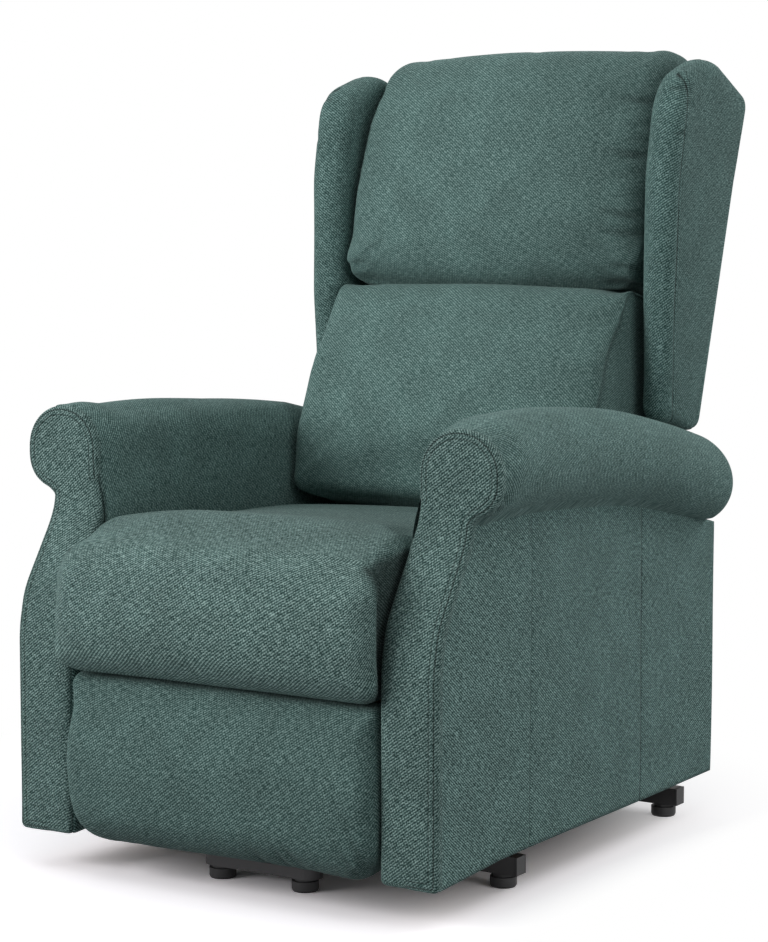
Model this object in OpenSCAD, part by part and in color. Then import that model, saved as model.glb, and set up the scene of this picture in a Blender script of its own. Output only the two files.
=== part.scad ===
// Lift recliner with winged back, two padded back cushions and scroll arms.
// Millimetres. The chair faces -Y, +Z is up, and x = 0 is the middle of the seat.
// Points written as [a, b] lie in the side view: a is y and b is z.

/* [Arms] */
// Half of the width between the outer faces of the arm panels
arm_out = 322; // [310:1:340]
// Width of one arm between its panels' outer faces
arm_w = 81; // [76:1:90]
// Height of the arms' lower edge above the floor
arm_low = 62; // [56:1:70]
// Place of the arm fronts
front_y = -450; // [-456:1:-444]
// Place of the arms' rear edge
rear_y = 336; // [332:1:350]
// Height at which the arm front starts to lean back
bend_z = 350; // [320:5:380]
// How far the leaning stretch of the arm front goes back
lean_run = 85; // [75:1:90]
// How far the leaning stretch of the arm front goes up
lean_rise = 148; // [140:1:152]
// Thickness of the board in the arm front
face_t = 16; // [12:1:20]
// Thickness of the arm's outer panel
outer_t = 16; // [12:1:20]
// Thickness of the arm's inner panel
inner_t = 15; // [12:1:18]
// Height of the arm's bottom rail
arm_rail_h = 40; // [30:1:60]
// Thickness of the cover at the rear of the chair
rear_t = 8; // [6:1:8]
// Height of the rear cover between the arms
rear_top = 250; // [200:5:252]

/* [Arm rolls] */
// Radius of the padded roll
roll_r = 64; // [60:1:66]
// Radius of the round face at the front of the roll
disc_r = 57; // [52:1:58]
// Distance of the roll's axis from the middle of the chair
roll_x = 305; // [302:1:308]
// Height of the roll's highest line above the floor
crest_top = 630; // [624:1:636]
// Place of the roll's highest point
crest_y = -270; // [-290:5:-250]
// Drop of the crest over the reach named next
crest_drop = 70; // [64:1:76]
// Reach over which the crest drops
crest_reach = 580; // [560:5:600]
// Length of the rounding at the roll's rear end
roll_end = 46; // [36:1:50]
// Place of the roll's rear tip
roll_rear = 374; // [366:1:376]

/* [Seat] */
// Height of the seat springs' top above the floor
deck_z = 296; // [294:1:300]
// Place of the seat cushion's foremost point
nose_y = -472; // [-480:1:-470]
// Height of the nose's lower edge
nose_z = 283; // [281:1:286]
// Height of the crown behind the nose
crown_z = 503; // [490:1:510]
// Height of the seat where the back cushion meets it
seat_back_z = 460; // [452:1:462]
// Place of the seat cushion's rear edge
seat_rear = 190; // [180:1:192]
// Half of the seat cushion's width
seat_half = 240; // [236:1:240]

/* [Back] */
// Lean of the back from the vertical in degrees
lean = 17.4; // [16.5:0.1:17.8]
// Place where the back's rear face would meet the height below
back_y = 222; // [220:1:226]
// Height at which the place above is measured
back_z = 215; // [212:1:218]
// Length of the back along its lean
back_len = 858; // [840:1:862]
// Thickness of the upholstered rear panel
panel_t = 12; // [8:1:13]
// Side of the back frame's square tube
back_tube = 25; // [20:1:25]
// Half of the width over the back frame
back_half = 208; // [204:1:208]
// Half of the back cushions' width
pad_half = 238; // [232:1:238]
// Length along the back at which the lumbar cushion starts
lumbar_s = 199; // [199:1:204]
// Length along the back of the seam between the two cushions
split_s = 535; // [520:1:545]
// Length along the back at which the head cushion ends
head_s = 888; // [875:1:890]
// Depth of the lumbar cushion's fullest point
lumbar_d = 234; // [215:1:238]
// Depth of the head cushion's fullest point
head_d = 186; // [175:1:192]

/* [Wings] */
// Distance of the wings' outer faces from the middle
wing_out = 298; // [292:1:300]
// Thickness of a wing
wing_t = 58; // [50:1:60]
// Place of the wings' front line
wing_front = 205; // [200:1:212]
// Height of the wings' lower front corner
wing_low = 585; // [584:1:600]
// Height of the wings' lower rear corner
wing_heel = 562; // [561:1:575]
// Height of the wings' top
wing_top = 1100; // [1090:1:1106]

/* [Legrest] */
// Pivot of the rear arms on the seat frame
leg_o1 = [-200, 250];
// Pivot of the front hangers on the seat frame
leg_o2 = [-260, 250];
// Step from the upper pivot of an arm to its lower pivot
leg_v = [60, -182];
// Pivot of the legrest board on its carriers
leg_j = [-372, 195];
// Step from a carrier's pivot to the tilt link's pivot
leg_n = [0, 46];
// Half of the legrest cushion's width
leg_half = 239; // [230:1:240]
// Height of the legrest cushion's lower edge
leg_low = 57; // [54:1:62]
// Height of the legrest cushion's upper edge
leg_high = 272; // [265:1:274]
// Place of the legrest cushion's foremost point
leg_front = -464; // [-468:1:-458]
// Place of the legrest board's rear face
board_y = -392; // [-396:1:-390]
// Thickness of the legrest board
board_t = 15; // [12:1:18]

/* [Lift linkage] */
// Pivot of the lift arms on the base
lift_o = [-184, 62];
// Pivot of the seat frame on the lift arms
lift_p = [129, 120];
// Pivot of the tilt links on the base
lift_b = [-120, 106];
// Pivot of the tilt links on the seat frame
lift_c = [312, 205];
// Pivot of the lift motor on the base
lift_d = [170, 90];
// Pivot of the lift motor's rod on the crank
lift_a = [-170, 120];

/* [Recline linkage] */
// Pivot of the back on the seat frame
rec_h = [240, 180];
// Pivot of the drive links on the back's cranks
rec_g = [106.6, 162.3];
// Pivot of the drive links on the legrest's rear arms
rec_e = [-222.7, 236.2];
// Pivot of the recline motor on the seat frame
rec_d = [-46, 250];
// Pivot of the recline motor's rod on the back's crank
rec_a = [255, 120];
// How far the recline motor's rod draws in
rec_stroke = 33.9; // [25:0.1:36]

/* [Base] */
// Side of the base's square tube
tube = 25; // [20:1:25]
// Height of the tube's underside above the floor
tube_z = 18; // [14:1:18]
// Place of the base's front cross tube
base_front = -195; // [-200:1:-190]
// Place of the base's rear cross tube
base_rear = 278; // [272:1:284]
// Half of the cross tubes' length over their caps
base_half = 300; // [296:1:310]
// Distance of the base's side rails from the middle
rail_x = 163; // [163:0.5:163]
// Place of the bar that carries the front feet
toe_y = -352; // [-358:1:-346]
// Half of the front bar's length
toe_half = 72; // [70:1:84]
// Width of the flattened front bar
toe_w = 36; // [30:1:40]
// Height of the flattened front bar
toe_h = 15; // [12:1:18]
// Distance of the front feet from the middle
toe_foot_x = 66; // [60:1:70]
// Distance of the corner feet from the middle
foot_x = 273; // [265:1:280]
// Radius of a foot
foot_r = 18; // [14:1:20]
// Thickness of a tube cap's head
cap_t = 5; // [3:1:8]

/* [Plates and pins] */
// Thickness of the lift linkage's arms
lift_t = 8; // [6:1:8]
// Thickness of the ears, hangers and tilt links
ear_t = 6; // [5:1:6]
// Thickness of the legrest and back linkage's plates
link_t = 4; // [3:0.5:4]
// Radius of the lift linkage's pins
lift_pin = 6; // [5:0.5:6]
// Radius of the other pins
pin_r = 5; // [4:0.5:5]
// Running clearance of a pin in its hole
pin_gap = 0.1; // [0.05:0.01:0.15]
// Free space between plates that move past each other
plate_gap = 2; // [1.5:0.1:2]
// Clearance between pieces that only rest on each other
seat_gap = 0.3; // [0.2:0.05:0.5]
// Margin of the lift rod's slot round its pin
slot_gap = 0.4; // [0.3:0.1:0.6]

/* [Motors] */
// Width of a motor's gearbox
gear_w = 44; // [40:1:46]
// Length of a motor's gearbox
gear_l = 46; // [40:1:50]
// Radius of a motor's can
can_r = 19; // [16:1:20]
// Radius of a motor's outer tube
sleeve_r = 14; // [13:0.5:15]
// Radius of a motor's rod
rod_r = 9; // [8:0.5:10]
// Distance of the motors from the middle of the chair
motor_x = 70; // [66:1:80]

/* [Handset] */
// Width of the handset
hand_w = 52; // [46:1:56]
// Thickness of the handset
hand_t = 20; // [18:1:22]
// Height of the handset
hand_h = 140; // [130:1:146]
// Place of the handset's middle along the arm
hand_y = -296; // [-310:1:-280]
// Height of the handset's lower end above the floor
hand_z = 240; // [236:1:242]
// Thickness of the pocket's cloth
cloth_t = 3; // [2:0.5:4]
// Height of the pocket
pocket_h = 92; // [80:1:96]
// Side of a push button
button_w = 15; // [12:1:16]
// Travel of a push button
button_travel = 1.2; // [0.8:0.1:1.5]

/* [Hidden] */
$fn = 48;

green = "#5a6f6c";
green_dark = "#48605a";
steel_black = "#1d1e20";
zinc = "#9da1a5";
timber = "#c8a877";
plastic = "#26272a";

// Sideways places of the linkage's layers, from the middle outwards
hang_in = rail_x - ear_t / 2;
hang_out = rail_x + ear_t / 2;
arm_x = hang_in - plate_gap - lift_t;
tilt_x = hang_out + plate_gap;
layer = link_t + plate_gap;
bracket_x = back_half;
carrier_x = bracket_x - layer;
outer_x = bracket_x + layer;
side_x = bracket_x + 2 * layer;

arm_in = arm_out - arm_w;
tube_top = tube_z + tube;
hole = pin_r + pin_gap;
lift_hole = lift_pin + pin_gap;
rail_h = 20;
rail_z = deck_z - 4 - rail_h - 4;

leg_k = leg_o1 + leg_v;
leg_m = leg_o2 + leg_v;
leg_nn = leg_k + leg_n;
leg_p = leg_j + leg_n;

// Turns the side view's [y, z] shape into a slab that starts at x and is t thick
module slab(x, t) {
    translate([x, 0, 0]) rotate([90, 0, 90]) linear_extrude(t) children();
}

// A piece and its mirror image on the chair's other side
module both() {
    children();
    mirror([1, 0, 0]) children();
}

// A flat bar between two points, with round ends w wide and a waist a little narrower
module bar(a, b, w, waist = 3) {
    translate(a) circle(w / 2);
    translate(b) circle(w / 2);
    translate(a) rotate(atan2(b[1] - a[1], b[0] - a[0]))
        translate([0, (waist - w) / 2]) square([norm(b - a), w - waist]);
}

// A round hole in a plate
module drill(a, r) {
    translate(a) circle(r);
}

// A pin along x from x0 to x1
module pin(a, x0, x1, r) {
    translate([x0, a[0], a[1]]) rotate([0, 90, 0]) cylinder(h = x1 - x0, r = r);
}

// A box given by its low and high corners
module box(lo, hi) {
    translate(lo) cube(hi - lo);
}

function unit(v) = v / norm(v);
function mix(a, b, t) = a + (b - a) * t;
function cross2(u, v) = u[0] * v[1] - u[1] * v[0];

// Points of one rounded corner b between a and c
function corner(a, b, c, r, n) =
    let(u = unit(a - b), v = unit(c - b), h = acos(u * v) / 2,
        m = b + unit(u + v) * (r / sin(h)), p = b + u * (r / tan(h)) - m,
        s = cross2(u, v) < 0 ? 1 : -1)
    [for (i = [0:n]) let(t = atan2(p[1], p[0]) + s * (180 - 2 * h) * i / n) m + r * [cos(t), sin(t)]];

// Outline through corners [a, b, radius], each rounded with n steps
function outline(c, n) = [for (i = [0:len(c) - 1])
    let(q = c[(i + len(c) - 1) % len(c)], b = c[i], s = c[(i + 1) % len(c)])
    each corner([q[0], q[1]], [b[0], b[1]], [s[0], s[1]], b[2], n)];

// Closed skin over rings of equal length, with flat ends
module skin(rings) {
    n = len(rings[0]);
    k = len(rings);
    pts = concat([for (r = rings) each r], [mean(rings[0])], [mean(rings[k - 1])]);
    faces = concat(
        [for (j = [0:k - 2], i = [0:n - 1]) [j * n + i, (j + 1) * n + i, j * n + (i + 1) % n]],
        [for (j = [0:k - 2], i = [0:n - 1])
            [(j + 1) * n + i, (j + 1) * n + (i + 1) % n, j * n + (i + 1) % n]],
        [for (i = [0:n - 1]) [k * n, i, (i + 1) % n]],
        [for (i = [0:n - 1]) [k * n + 1, (k - 1) * n + (i + 1) % n, (k - 1) * n + i]]);
    polyhedron(pts, faces);
}
function mean(r) = [for (i = [0:2]) [for (p = r) p[i]] * [for (p = r) 1] / len(r)];

// Stations from -1 to 1 that crowd towards both ends, where a pad's side is rounded
function stations(n) = [for (i = [0:n]) sin(mix(-90, 90, i / n))];

// How far a pad's outline is drawn in at side place x, as a quarter round at the edge
function drawn(x, half, edge) =
    let(t = max(0, (abs(x) - (half - edge)) / edge))
    edge * (1 - sqrt(max(0, 1 - t * t))) * 0.85;

// How much of a bulge reaches a point: all of it at the pad's own side, none at the far side
function lifted(v, size, bulge) = bulge * max(0, 2 * v * sign(bulge) / size);

// A pad: a side outline carried across the width, rounded at its sides and bulging in the middle
module pad(ring, mid, size, half, edge, bulge, n) {
    skin([for (u = stations(n)) let(x = u * half, d = drawn(x, half, edge), f = 1 - u * u)
        [for (p = ring) let(q = p - mid) [x,
            p[0] - q[0] * 2 * d / size[0] + f * lifted(q[0], size[0], bulge[0]),
            p[1] - q[1] * 2 * d / size[1] + f * lifted(q[1], size[1], bulge[1])]]]);
}

// Base: welded square tube, with ears for the lift arms, tilt links and motor
module base_frame() color(steel_black) {
    for (y = [base_front, base_rear])
        box([-base_half + cap_t, y - tube / 2, tube_z], [base_half - cap_t, y + tube / 2, tube_top]);
    both() {
        box([rail_x - tube / 2, base_front, tube_z], [rail_x + tube / 2, base_rear, tube_top]);
        slab(hang_in, ear_t) difference() {
            union() {
                bar(lift_o, lift_b, 34);
                polygon([[lift_o[0] - 15, tube_top - 1], [lift_o[0] - 15, lift_o[1]],
                    lift_b + [15, 0], [lift_b[0] + 15, tube_top - 1]]);
            }
            drill(lift_o, lift_hole);
            drill(lift_b, lift_hole);
        }
    }
    box([-rail_x, lift_d[0] - tube / 2, tube_z], [rail_x, lift_d[0] + tube / 2, tube_top]);
    for (x = fork_x(-motor_x)) slab(x, ear_t) difference() {
        union() {
            drill(lift_d, 13);
            polygon([[lift_d[0] - 12, tube_top - 1], [lift_d[0] - 12, lift_d[1]],
                [lift_d[0] + 12, lift_d[1]], [lift_d[0] + 12, tube_top - 1]]);
        }
        drill(lift_d, hole);
    }
    for (x = [-1, 1]) box([x * toe_foot_x - 10, toe_y, tube_z + 3],
        [x * toe_foot_x + 10, base_front, tube_z + toe_h - 3]);
}

// The two cheeks that hold a motor's eye, on either side of its middle
function fork_x(x) = [x - eye_t / 2 - plate_gap - ear_t, x + eye_t / 2 + plate_gap];
eye_t = 10;

// Front bar with round ends, on which the front feet are screwed
module front_foot_bar() color(steel_black) difference() {
    translate([0, 0, tube_z]) linear_extrude(toe_h) bar([-toe_half, toe_y], [toe_half, toe_y], toe_w, 0);
    for (x = [-1, 1]) box([x * toe_foot_x - 10, toe_y, tube_z + 3],
        [x * toe_foot_x + 10, toe_y + toe_w, tube_z + toe_h - 3]);
}

// Square plastic caps in the ends of the cross tubes
module tube_end_caps() color(plastic) both() for (y = [base_front, base_rear])
    translate([base_half - cap_t, y, tube_z + tube / 2]) rotate([0, 90, 0])
        linear_extrude(cap_t) square(tube - 0.5, center = true);

// One foot: a turned plastic foot with a narrower neck and a threaded stem's collar
module foot(x, y) {
    translate([x, y, 0]) {
        cylinder(h = 3, r1 = foot_r - 1.5, r2 = foot_r);
        translate([0, 0, 3]) cylinder(h = tube_z - 7, r = foot_r);
        translate([0, 0, tube_z - 4]) cylinder(h = 4, r = foot_r - 4);
    }
}
module corner_feet() color(plastic) both() for (y = [base_front, base_rear]) foot(foot_x, y);
module front_feet() color(plastic) both() foot(toe_foot_x, toe_y);

// Pins that are fixed in the base's ears
module base_pins() color(zinc) {
    both() {
        pin(lift_o, arm_x - 12, hang_out + 3, lift_pin);
        pin(lift_b, hang_in - 1, tilt_x + ear_t + 2, lift_pin);
    }
    pin(lift_d, fork_x(-motor_x)[0] - 2, fork_x(-motor_x)[1] + ear_t + 2, pin_r);
}

// Tray, control box and mains inlet on the base's two rear cross tubes
tray_x = [14, 138];
box_y = [lift_d[0] + 22, base_rear - 16];
box_z = tube_top + 2;
module control_tray() color(zinc)
    box([tray_x[0], lift_d[0] - tube / 2, tube_top], [tray_x[1], base_rear + tube / 2, box_z]);
module control_box() color(plastic) difference() {
    translate([tray_x[0] + 6, box_y[0], box_z]) linear_extrude(38) round_rect(tray_x[1] - tray_x[0] - 12,
        box_y[1] - box_y[0], 6);
    box([inlet_x - 14, box_y[1] - 12, box_z + 8], [inlet_x + 14, box_y[1] + 1, box_z + 28]);
}
inlet_x = (tray_x[0] + tray_x[1]) / 2;
module power_inlet() color(steel_black) difference() {
    box([inlet_x - 13.8, box_y[1] - 11.8, box_z + 8.2], [inlet_x + 13.8, box_y[1], box_z + 27.8]);
    for (s = [-1, 1]) translate([inlet_x + s * 4.5, box_y[1] + 1, box_z + 18]) rotate([90, 0, 0])
        cylinder(h = 9, r = 4.4);
}

// A rectangle with round corners, from the origin
module round_rect(w, d, r) {
    translate([r, 0]) square([w - 2 * r, d]);
    translate([0, r]) square([w, d - 2 * r]);
    for (x = [r, w - r], y = [r, d - r]) translate([x, y]) circle(r);
}

// Lift arms: two flat arms on a cross tube, with the crank that the lift motor pushes
module lift_arms() color(steel_black) {
    both() slab(arm_x, lift_t) difference() {
        bar(lift_o, lift_p, 28);
        drill(lift_o, lift_hole);
        drill(lift_p, lift_hole);
    }
    difference() {
        pin(lift_o, -arm_x - 1, arm_x + 1, 14);
        pin(lift_o, -arm_x - 2, arm_x + 2, lift_hole);
    }
    slab(-motor_x - eye_t / 2, eye_t) difference() {
        bar(lift_o, lift_a, 24);
        drill(lift_o, 12);
        drill(lift_a, hole);
    }
}
module lift_crank_pin() color(zinc)
    pin(lift_a, fork_x(-motor_x)[0] - 1, fork_x(-motor_x)[1] + ear_t + 1, pin_r);

// Tilt links, which turn the seat frame forwards as the lift arms rise
link_slack = 1;
module lift_tilt_links() color(steel_black) both() slab(tilt_x, ear_t) difference() {
    bar(lift_b, lift_c, 22);
    drill(lift_b, lift_hole);
    drill(lift_c, lift_hole + link_slack);
}

// Everything of a motor is drawn along its own axis: x runs from its pivot towards the rod's pivot
module along(a, b, x) {
    translate([x, a[0], a[1]]) rotate([atan2(b[1] - a[1], b[0] - a[0]), 0, 0]) rotate([0, 0, 90])
        children();
}

// Motor housing: rear eye, gearbox, motor can beside it and the outer tube with its end collar
gear_at = 15;
sleeve_at = gear_at + gear_l;
module motor_housing(reach, side) {
    difference() {
        union() {
            translate([-11, -eye_t / 2, -11]) rotate([90, 0, 0]) translate([0, 0, -eye_t])
                linear_extrude(eye_t) round_rect(30, 22, 10.9);
            translate([gear_at, -gear_w / 2, -gear_w / 2]) cube([gear_l, gear_w, gear_w]);
            translate([sleeve_at - 1, 0, 0]) rotate([0, 90, 0])
                cylinder(h = reach - sleeve_at, r = sleeve_r);
            translate([reach - 15, 0, 0]) rotate([0, 90, 0]) cylinder(h = 14, r = sleeve_r + 2.5);
            translate([sleeve_at - 1, side * (can_r + sleeve_r + 1), 0]) rotate([0, 90, 0])
                cylinder(h = 84, r = can_r);
            translate([gear_at, side > 0 ? 0 : -can_r * 2 - sleeve_r, -can_r])
                cube([gear_l, can_r * 2 + sleeve_r, can_r * 2]);
        }
        rotate([90, 0, 0]) translate([0, 0, -eye_t]) cylinder(h = 2 * eye_t, r = hole);
        translate([sleeve_at + 10, 0, 0]) rotate([0, 90, 0]) cylinder(h = reach, r = rod_r + 0.3);
    }
}

// Motor rod: a bright rod with a fork whose two long cheeks hold the crank's pin
fork_root = 44;
module motor_rod(length, from) {
    fork_w = fork_x(0)[1] + ear_t;
    translate([from, 0, 0]) rotate([0, 90, 0]) cylinder(h = length - fork_root + 2 - from, r = rod_r);
    difference() {
        union() {
            translate([length - fork_root, -fork_w, -12]) cube([fork_root, 2 * fork_w, 24]);
            translate([length - 17, -fork_w, -17]) cube([33, 2 * fork_w, 34]);
        }
        translate([length - fork_root + 8, -fork_x(0)[1], -18]) cube([60, 2 * fork_x(0)[1], 36]);
        rotate([90, 0, 0]) translate([0, 0, -fork_w - 1]) linear_extrude(2 * fork_w + 2) children();
    }
}

lift_len = norm(lift_a - lift_d);
rec_len = norm(rec_a - rec_d);
module lift_motor_housing() color(plastic) along(lift_d, lift_a, -motor_x)
    motor_housing(lift_len - fork_root - 4, -1);
// The fork's slot takes up what the crank's round path adds to the rod's straight one
module lift_motor_rod() color(zinc) along(lift_d, lift_a, -motor_x) motor_rod(lift_len, 110)
    bar([lift_len - 0.6, -3.8], [lift_len - 0.6, 5.7], 2 * (pin_r + 1.7 + slot_gap), 0);
module recline_motor_housing() color(plastic) along(rec_d, rec_a, motor_x)
    motor_housing(rec_len - rec_stroke - fork_root - 4, -1);
rod_slack = 2.5;
module recline_motor_rod() color(zinc) along(rec_d, rec_a, motor_x)
    motor_rod(rec_len, 110) translate([rec_len, 0]) circle(hole + rod_slack);

// Seat frame: cross tubes, the hangers that carry it on the lift linkage, and the motor's ears
back_rail = [lift_c[0] - 4, lift_c[1] - 43];
mid_rail_y = 100;
motor_rail_y = rec_d[0];
module seat_frame() color(steel_black) {
    both() slab(hang_in, ear_t) difference() {
        union() {
            bar(lift_p, lift_c, 28);
            bar(lift_p, [mid_rail_y, rail_z + 12], 28);
            bar(lift_c, back_rail, 28);
        }
        drill(lift_p, lift_hole);
        drill(lift_c, lift_hole);
    }
    for (y = [motor_rail_y, mid_rail_y])
        box([-side_x, y - tube / 2, rail_z], [side_x, y + tube / 2, rail_z + rail_h]);
    box([-side_x, back_rail[0] - tube / 2, back_rail[1] - tube / 2],
        [side_x, back_rail[0] + tube / 2, back_rail[1] + tube / 2]);
    for (x = fork_x(motor_x)) slab(x, ear_t) difference() {
        union() {
            drill(rec_d, 13);
            translate([rec_d[0] - 12, rec_d[1]]) square([24, rail_z + 1 - rec_d[1]]);
        }
        drill(rec_d, hole);
    }
}

// Side plates, which carry the legrest linkage's and the back's pivots
module seat_side_plates() color(steel_black) both() slab(side_x, link_t) difference() {
    polygon([[leg_o2[0] - 32, deck_z - 6], [leg_o2[0] - 32, leg_o2[1] - 15],
        [leg_o1[0] + 32, leg_o1[1] - 15], [leg_o1[0] + 60, rail_z - 4], [rec_h[0] - 72, rail_z - 4],
        [rec_h[0] - 38, rec_h[1] - 20], [back_rail[0] + 13, back_rail[1] - 16],
        [back_rail[0] + 13, back_rail[1] + 16], [rec_h[0] + 42, rail_z - 20],
        [rec_h[0] + 20, deck_z - 6]]);
    for (a = [leg_o1, leg_o2, rec_h]) drill(a, hole);
}

// Shoulder pins of the legrest and the back, and pins of the lift linkage on the seat frame
module chassis_pins() color(zinc) {
    both() {
        for (a = [leg_o1, leg_o2, rec_h]) {
            pin(a, bracket_x - 0.6, side_x + link_t - 0.2, pin_r);
            pin(a, outer_x - plate_gap + 0.3, side_x - 0.3, 8);
        }
        pin(lift_p, arm_x - 2, hang_out + 1, lift_pin);
        pin(lift_c, hang_in - 1, tilt_x + ear_t + 2, lift_pin);
    }
    pin(rec_d, fork_x(motor_x)[0] - 2, fork_x(motor_x)[1] + ear_t + 2, pin_r);
}

// Timber rails of the seat, screwed to the arms' inner panels
deck_front = [board_y - 2, board_y + 18];
deck_rear = [seat_rear - 40, seat_rear - 10];
module seat_side_rails() color(timber) both()
    box([side_x + link_t, deck_front[0], leg_o1[1] - 14], [arm_in, rec_h[0] + 28, deck_z - 4]);
module seat_deck_rails() color(timber) {
    box([-side_x - link_t, deck_front[0], rail_z], [side_x + link_t, deck_front[1], deck_z - 4]);
    box([-side_x, deck_rear[0], rail_z], [side_x, deck_rear[1], deck_z - 4]);
}

// Sinuous springs: flat zigzag wires from the front rail to the rear rail
spring_n = 5;
spring_amp = 22;
spring_w = 4;
spring_waves = 9;
module zigzag(from, to, amp, waves, w) {
    n = waves * 10;
    c = [for (i = [0:n]) [mix(from, to, i / n), amp * sin(360 * waves * i / n)]];
    d = [for (i = [0:n]) unit([to - from, amp * 2 * PI * waves * cos(360 * waves * i / n)])];
    polygon(concat([for (i = [0:n]) c[i] + w / 2 * [-d[i][1], d[i][0]]],
        [for (i = [n:-1:0]) c[i] - w / 2 * [-d[i][1], d[i][0]]]));
}
module seat_springs() color(zinc) for (i = [0:spring_n - 1])
    translate([mix(-170, 170, i / (spring_n - 1)), 0, deck_z - 4]) rotate([0, 0, 90])
        linear_extrude(4) zigzag(deck_front[0] + 4, deck_rear[1] - 4, spring_amp, spring_waves, spring_w);

// Seat cushion: a waterfall front that hangs over the front rail, a crown and a top that
// falls towards the back
seat_low = deck_z + seat_gap;
seat_ring = outline([[deck_front[0] - 8, nose_z, 5], [deck_front[0] - 7, seat_low, 4],
    [seat_rear, seat_low, 18], [seat_rear, seat_back_z - 30, 14], [90, seat_back_z, 60],
    [-250, crown_z - 22, 240], [-395, crown_z + 8, 88], [nose_y + 3, 440, 60],
    [nose_y - 1, 345, 90], [nose_y + 16, nose_z, 40]], 4);
module seat_cushion() color(green)
    pad(seat_ring, [-142, 392], [660, 215], seat_half, 26, [-3, 4], 14);

// Arm fronts: a board that stands upright, leans back and ends in the scroll's round face
lean_a = atan2(lean_run, lean_rise);
disc_y = front_y + lean_run - 7;
disc_z = crest(disc_y) - roll_r - 6;
function inner_line(t) = [[front_y + t, bend_z - t * tan(lean_a / 2)],
    [front_y + lean_run + t * cos(lean_a), bend_z + lean_rise - t * sin(lean_a)]];
module arm_front() {
    slab(arm_in, arm_w) polygon([[front_y, arm_low], [front_y + face_t, arm_low],
        inner_line(face_t)[0], inner_line(face_t)[1], [disc_y + face_t, disc_z - disc_r],
        [disc_y + face_t, disc_z - 20], [disc_y + 4, disc_z - 20],
        [front_y + lean_run, bend_z + lean_rise], [front_y, bend_z]]);
    translate([roll_x, disc_y, disc_z]) rotate([-90, 0, 0]) cylinder(h = face_t, r = disc_r, $fn = 96);
}
module right_arm_front() color(green_dark) arm_front();
module left_arm_front() color(green_dark) mirror([1, 0, 0]) arm_front();

// Height of the roll's crest along the arm
function crest(y) = crest_top - crest_drop * pow((y - crest_y) / crest_reach, 2);

// Panels of the arm, cut to the roll's underside
function under(y) = crest(y) - 2 * roll_r - seat_gap;
module panel_side(drop, back) {
    steps = 8;
    y0 = inner_line(face_t)[1][0] + 2;
    polygon(concat([[front_y + face_t, arm_low], [back, arm_low]],
        [for (i = [0:steps]) let(y = mix(back, y0, i / steps)) [y, under(y) + drop]],
        [[y0 - 2, min(under(y0) + drop, inner_line(face_t)[1][1])], inner_line(face_t)[0]]));
}
function roll_rise(x) = roll_r - sqrt(roll_r * roll_r - x * x);
module outer_panel() slab(arm_out - outer_t, outer_t)
    panel_side(roll_rise(max(0, arm_out - outer_t - roll_x)), rear_y);
module right_outer_panel() color(green_dark) outer_panel();
module left_outer_panel() color(green_dark) mirror([1, 0, 0]) outer_panel();
module inner_panel() slab(arm_in, inner_t)
    panel_side(roll_rise(roll_x - arm_in - inner_t), rear_y - rear_t);
module right_inner_panel() color(green_dark) inner_panel();
module left_inner_panel() color(green_dark) mirror([1, 0, 0]) inner_panel();

// Timber rails inside the arms: one under the roll, one along the bottom
arm_core = [arm_in + inner_t, arm_out - outer_t];
module arm_top_rails() color(timber) both()
    slab(arm_core[0], arm_core[1] - arm_core[0]) let(y0 = inner_line(face_t)[1][0] + 4, n = 6)
        polygon(concat([for (i = [0:n]) let(y = mix(y0, rear_y - rear_t, i / n)) [y, under(y) - 30]],
            [for (i = [n:-1:0]) let(y = mix(y0, rear_y - rear_t, i / n)) [y, under(y)]]));
module arm_bottom_rails() color(timber) both() box([arm_core[0], front_y + face_t, arm_low],
    [arm_core[1], rear_y - rear_t, arm_low + arm_rail_h]);

// Padded roll: swells behind the round face, follows the crest and rounds off at the rear
roll_y0 = disc_y + face_t + seat_gap;
function roll_radius(y) = y < roll_y0 + 34
    ? mix(disc_r, roll_r, sin(90 * (y - roll_y0) / 34))
    : y < roll_rear - roll_end ? roll_r
    : roll_r * sqrt(max(0.02, 1 - pow((y - roll_rear + roll_end) / roll_end, 2)));
roll_ys = concat([for (i = [0:3]) roll_y0 + 34 * i / 3],
    [for (i = [1:6]) mix(roll_y0 + 34, roll_rear - roll_end, i / 6)],
    [for (i = [1:5]) roll_rear - roll_end + roll_end * sin(90 * i / 5)]);
module arm_roll() skin([for (y = roll_ys) let(r = roll_radius(y), c = crest(y) - roll_r)
    [for (i = [0:23]) [roll_x + r * cos(15 * i), y, c + r * sin(15 * i)]]]);
module right_arm_roll() color(green_dark) arm_roll();
module left_arm_roll() color(green_dark) mirror([1, 0, 0]) arm_roll();

// Rear cover: closes the arms' ends and the chair's rear between them
module rear_cover() color(green_dark) let(x = arm_out - outer_t, h = under(rear_y) - 1)
    translate([0, rear_y, 0]) rotate([90, 0, 0]) linear_extrude(rear_t)
        polygon([[-x, arm_low], [x, arm_low], [x, h], [arm_in, h], [arm_in, rear_top],
            [-arm_in, rear_top], [-arm_in, h], [-x, h]]);

// Handset pocket: a cloth pouch on the outside of the left arm, open at the top
pocket_w = hand_w + 2 * (cloth_t + 2);
pocket_t = hand_t + 2 * cloth_t + 2;
hand_x = -arm_out - cloth_t - 1 - hand_t;
module handset_pocket() color(green_dark) difference() {
    box([-arm_out - pocket_t, hand_y - pocket_w / 2, hand_z - cloth_t - seat_gap],
        [-arm_out, hand_y + pocket_w / 2, hand_z + pocket_h]);
    box([-arm_out - pocket_t + cloth_t, hand_y - pocket_w / 2 + cloth_t, hand_z - seat_gap],
        [-arm_out - cloth_t, hand_y + pocket_w / 2 - cloth_t, hand_z + pocket_h + 1]);
}

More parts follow.
